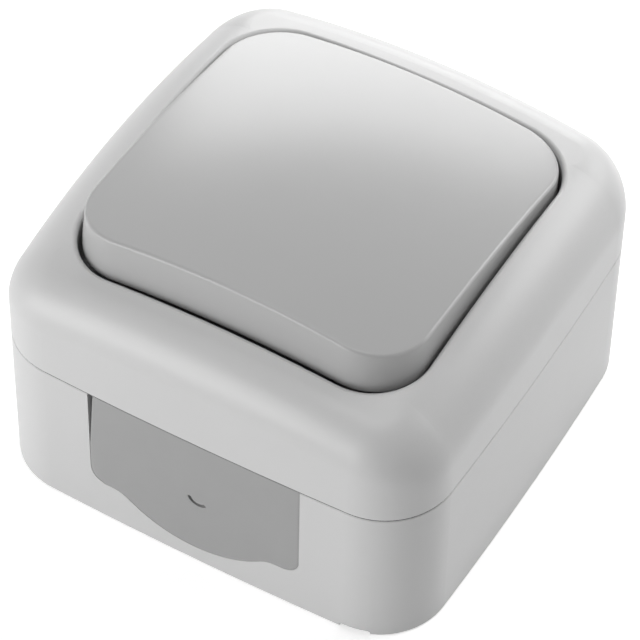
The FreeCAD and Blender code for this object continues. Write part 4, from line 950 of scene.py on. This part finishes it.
# Each row: the feet of the threads, then radius, ridge, pitch and length, all in millimetres.
THREADS = {"cover_screw_threads": ([(21.5, -21.5, 9.6), (-21.5, 21.5, 9.6)], 1.75, 0.16, 1.3, 12.0),
           "frame_screw_threads": ([(24.0, 0, 12.6), (-24.0, 0, 12.6)], 1.5, 0.14, 1.2, 10.0),
           "terminal_screw_threads": ([(0, 15.6, 16.9), (0, -15.6, 16.9)], 1.5, 0.10, 0.7, 4.4)}
for name, (feet, radius, ridge, pitch, length) in THREADS.items():
    points = bpy.data.meshes.new(name + "_feet")
    points.from_pydata([tuple(v * MM for v in foot) for foot in feet], [], [])
    thread = grow(name, THREAD, points, {"Radius": radius * MM, "Ridge": ridge * MM, "Pitch": pitch * MM,
                                         "Length": length * MM})
    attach(thread, "housing")
    print(name, len(thread.data.polygons), "faces,", box_in_mm(thread), "mm,", round(volume(thread.data), 2))

# %% [markdown]
# The plunger's return spring is drawn wire wound round the axis of the carrier's bore. It is the same
# kind of piece as a thread, a section swept along a spiral.
# %% Return spring


def spring_tree(material):
    names = [("Radius", "Float", MM), ("Wire", "Float", 0.3 * MM), ("Turns", "Float", 7.0),
             ("Foot", "Float", 0.0), ("Length", "Float", MM), ("Tilt", "Float", 0.0), ("Pivot", "Float", 0.0)]
    tree, sizes, out = new_tree("return_spring", names)
    coil = wound(tree, sizes, sizes["Turns"], 40, 12, sizes["Wire"])
    place = add_node(tree, "GeometryNodeInputPosition").outputs[0]
    lift = add_node(tree, "ShaderNodeCombineXYZ", Z=sizes["Foot"])
    raised = vector_math(tree, "ADD", place, lift.outputs[0])
    shaped = add_node(tree, "GeometryNodeSetPosition", Geometry=coil,
                      Position=tilted(tree, raised, sizes))
    close_tree(tree, shaped.outputs[0], material, out)
    return tree


SPRING = spring_tree(FINISHES["spring_steel"])
SPRING_FOOT, SPRING_LENGTH, SPRING_RADIUS, WIRE, TRAVEL, BORE_END = 30.35, 9.3, 1.95, 0.3, 1.2, 40
spring = grow("return_spring", SPRING, bpy.data.meshes.new("spring_seed"),
              {"Radius": SPRING_RADIUS * MM, "Wire": WIRE * MM, "Foot": SPRING_FOOT * MM,
               "Length": SPRING_LENGTH * MM, "Tilt": TILT, "Pivot": PIVOT * MM})
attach(spring, "rocker")
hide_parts("plunger_spring")
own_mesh(spring)
print("spring:", len(spring.data.polygons), "faces,", box_in_mm(spring), "mm,", round(volume(spring.data), 1))

# %% [markdown]
# The photograph has a white table and no hard shadow, so the light comes from six soft lamps: a wide
# one low at the front left, a weak strip that draws the key's front edge, one on the far side, which the
# glossy key mirrors along its far edge, one at the back right, a weak one low at the right and one
# overhead. Nothing stands near the camera, which is why the corner that faces it stays darker than its
# two sides. The strengths come from rendering the switch under one lamp at a time and adding the
# pictures up until the tones agree with the photograph.
# %% Soft lamps: direction from the switch, size in metres, watts
LAMP_DISTANCE = 0.6


def soft_light(name, direction, size, strength):
    data = bpy.data.lights.new(name, "AREA")
    data.shape = "RECTANGLE"
    data.size = size[0]
    data.size_y = size[1]
    data.energy = strength
    lamp = put(name, data)
    away = Vector(direction).normalized()
    lamp.location = TARGET + away * LAMP_DISTANCE
    lamp.rotation_mode = "QUATERNION"
    lamp.rotation_quaternion = away.to_track_quat("Z", "Y")
    return lamp


LAMPS = [soft_light("front_left", (-0.50, -0.86, 0.12), (0.70, 0.35), 2.80),
         soft_light("front_strip", (-0.32, -0.75, 0.50), (0.35, 0.12), 0.57),
         soft_light("far_side", (-0.35, 0.90, 0.35), (0.40, 0.30), 1.95),
         soft_light("back_right", (0.50, 0.75, 0.50), (0.40, 0.30), 1.72),
         soft_light("right_low", (0.75, 0.65, 0.20), (0.40, 0.30), 0.36),
         soft_light("overhead", (0.0, 0.05, 1.0), (0.40, 0.30), 0.97)]
print("lamps:", len(LAMPS), "total watts:", round(sum(lamp.data.energy for lamp in LAMPS), 2))

# %% [markdown]
# The table should look white without more light on the switch. Its own colour takes the shadow, and a
# little light that only the camera, mirrors and clear materials see lifts it to white. The world does
# the same: those rays see a white room, and everything else gets a dim fill.
# %% White table
TABLE_HALF = 3.0
TABLE_GLOW = 0.52


def rays_that_see(tree):
    """1 for a ray from the camera, from a mirror or through clear material, 0 for the rest."""
    path = tree.nodes.new("ShaderNodeLightPath")
    total = calculate(tree, "MAXIMUM", path.outputs["Is Camera Ray"], path.outputs["Is Glossy Ray"])
    return calculate(tree, "MAXIMUM", total, path.outputs["Is Transmission Ray"])


def table_finish():
    material = bpy.data.materials.new("white_table")
    material.use_nodes = True
    tree = material.node_tree
    shader = tree.nodes["Principled BSDF"]
    shader.inputs["Base Color"].default_value = (0.86, 0.86, 0.86, 1)
    shader.inputs["Roughness"].default_value = 0.9
    shader.inputs["Specular IOR Level"].default_value = 0.0
    shader.inputs["Emission Color"].default_value = (1, 1, 1, 1)
    glow = calculate(tree, "MULTIPLY", rays_that_see(tree), TABLE_GLOW)
    tree.links.new(glow, shader.inputs["Emission Strength"])
    return material


floor_mesh = bpy.data.meshes.new("floor")
corners = [(x * TABLE_HALF, y * TABLE_HALF, 0) for x, y in ((-1, -1), (1, -1), (1, 1), (-1, 1))]
floor_mesh.from_pydata(corners, [], [(0, 1, 2, 3)])
floor = put("floor", floor_mesh)
floor_mesh.materials.append(table_finish())
print("table:", 2 * TABLE_HALF, "m square")

# %% White room
FILL = 0.08
world = bpy.data.worlds.new("world")
bpy.context.scene.world = world
world.use_nodes = True
sky = world.node_tree.nodes["Background"]
sky.inputs["Color"].default_value = (1, 1, 1, 1)
seen = rays_that_see(world.node_tree)
world.node_tree.links.new(remap(world.node_tree, seen, FILL, 1.0), sky.inputs["Strength"])
bpy.context.scene.view_settings.view_transform = "Standard"
print("fill from the room:", FILL)
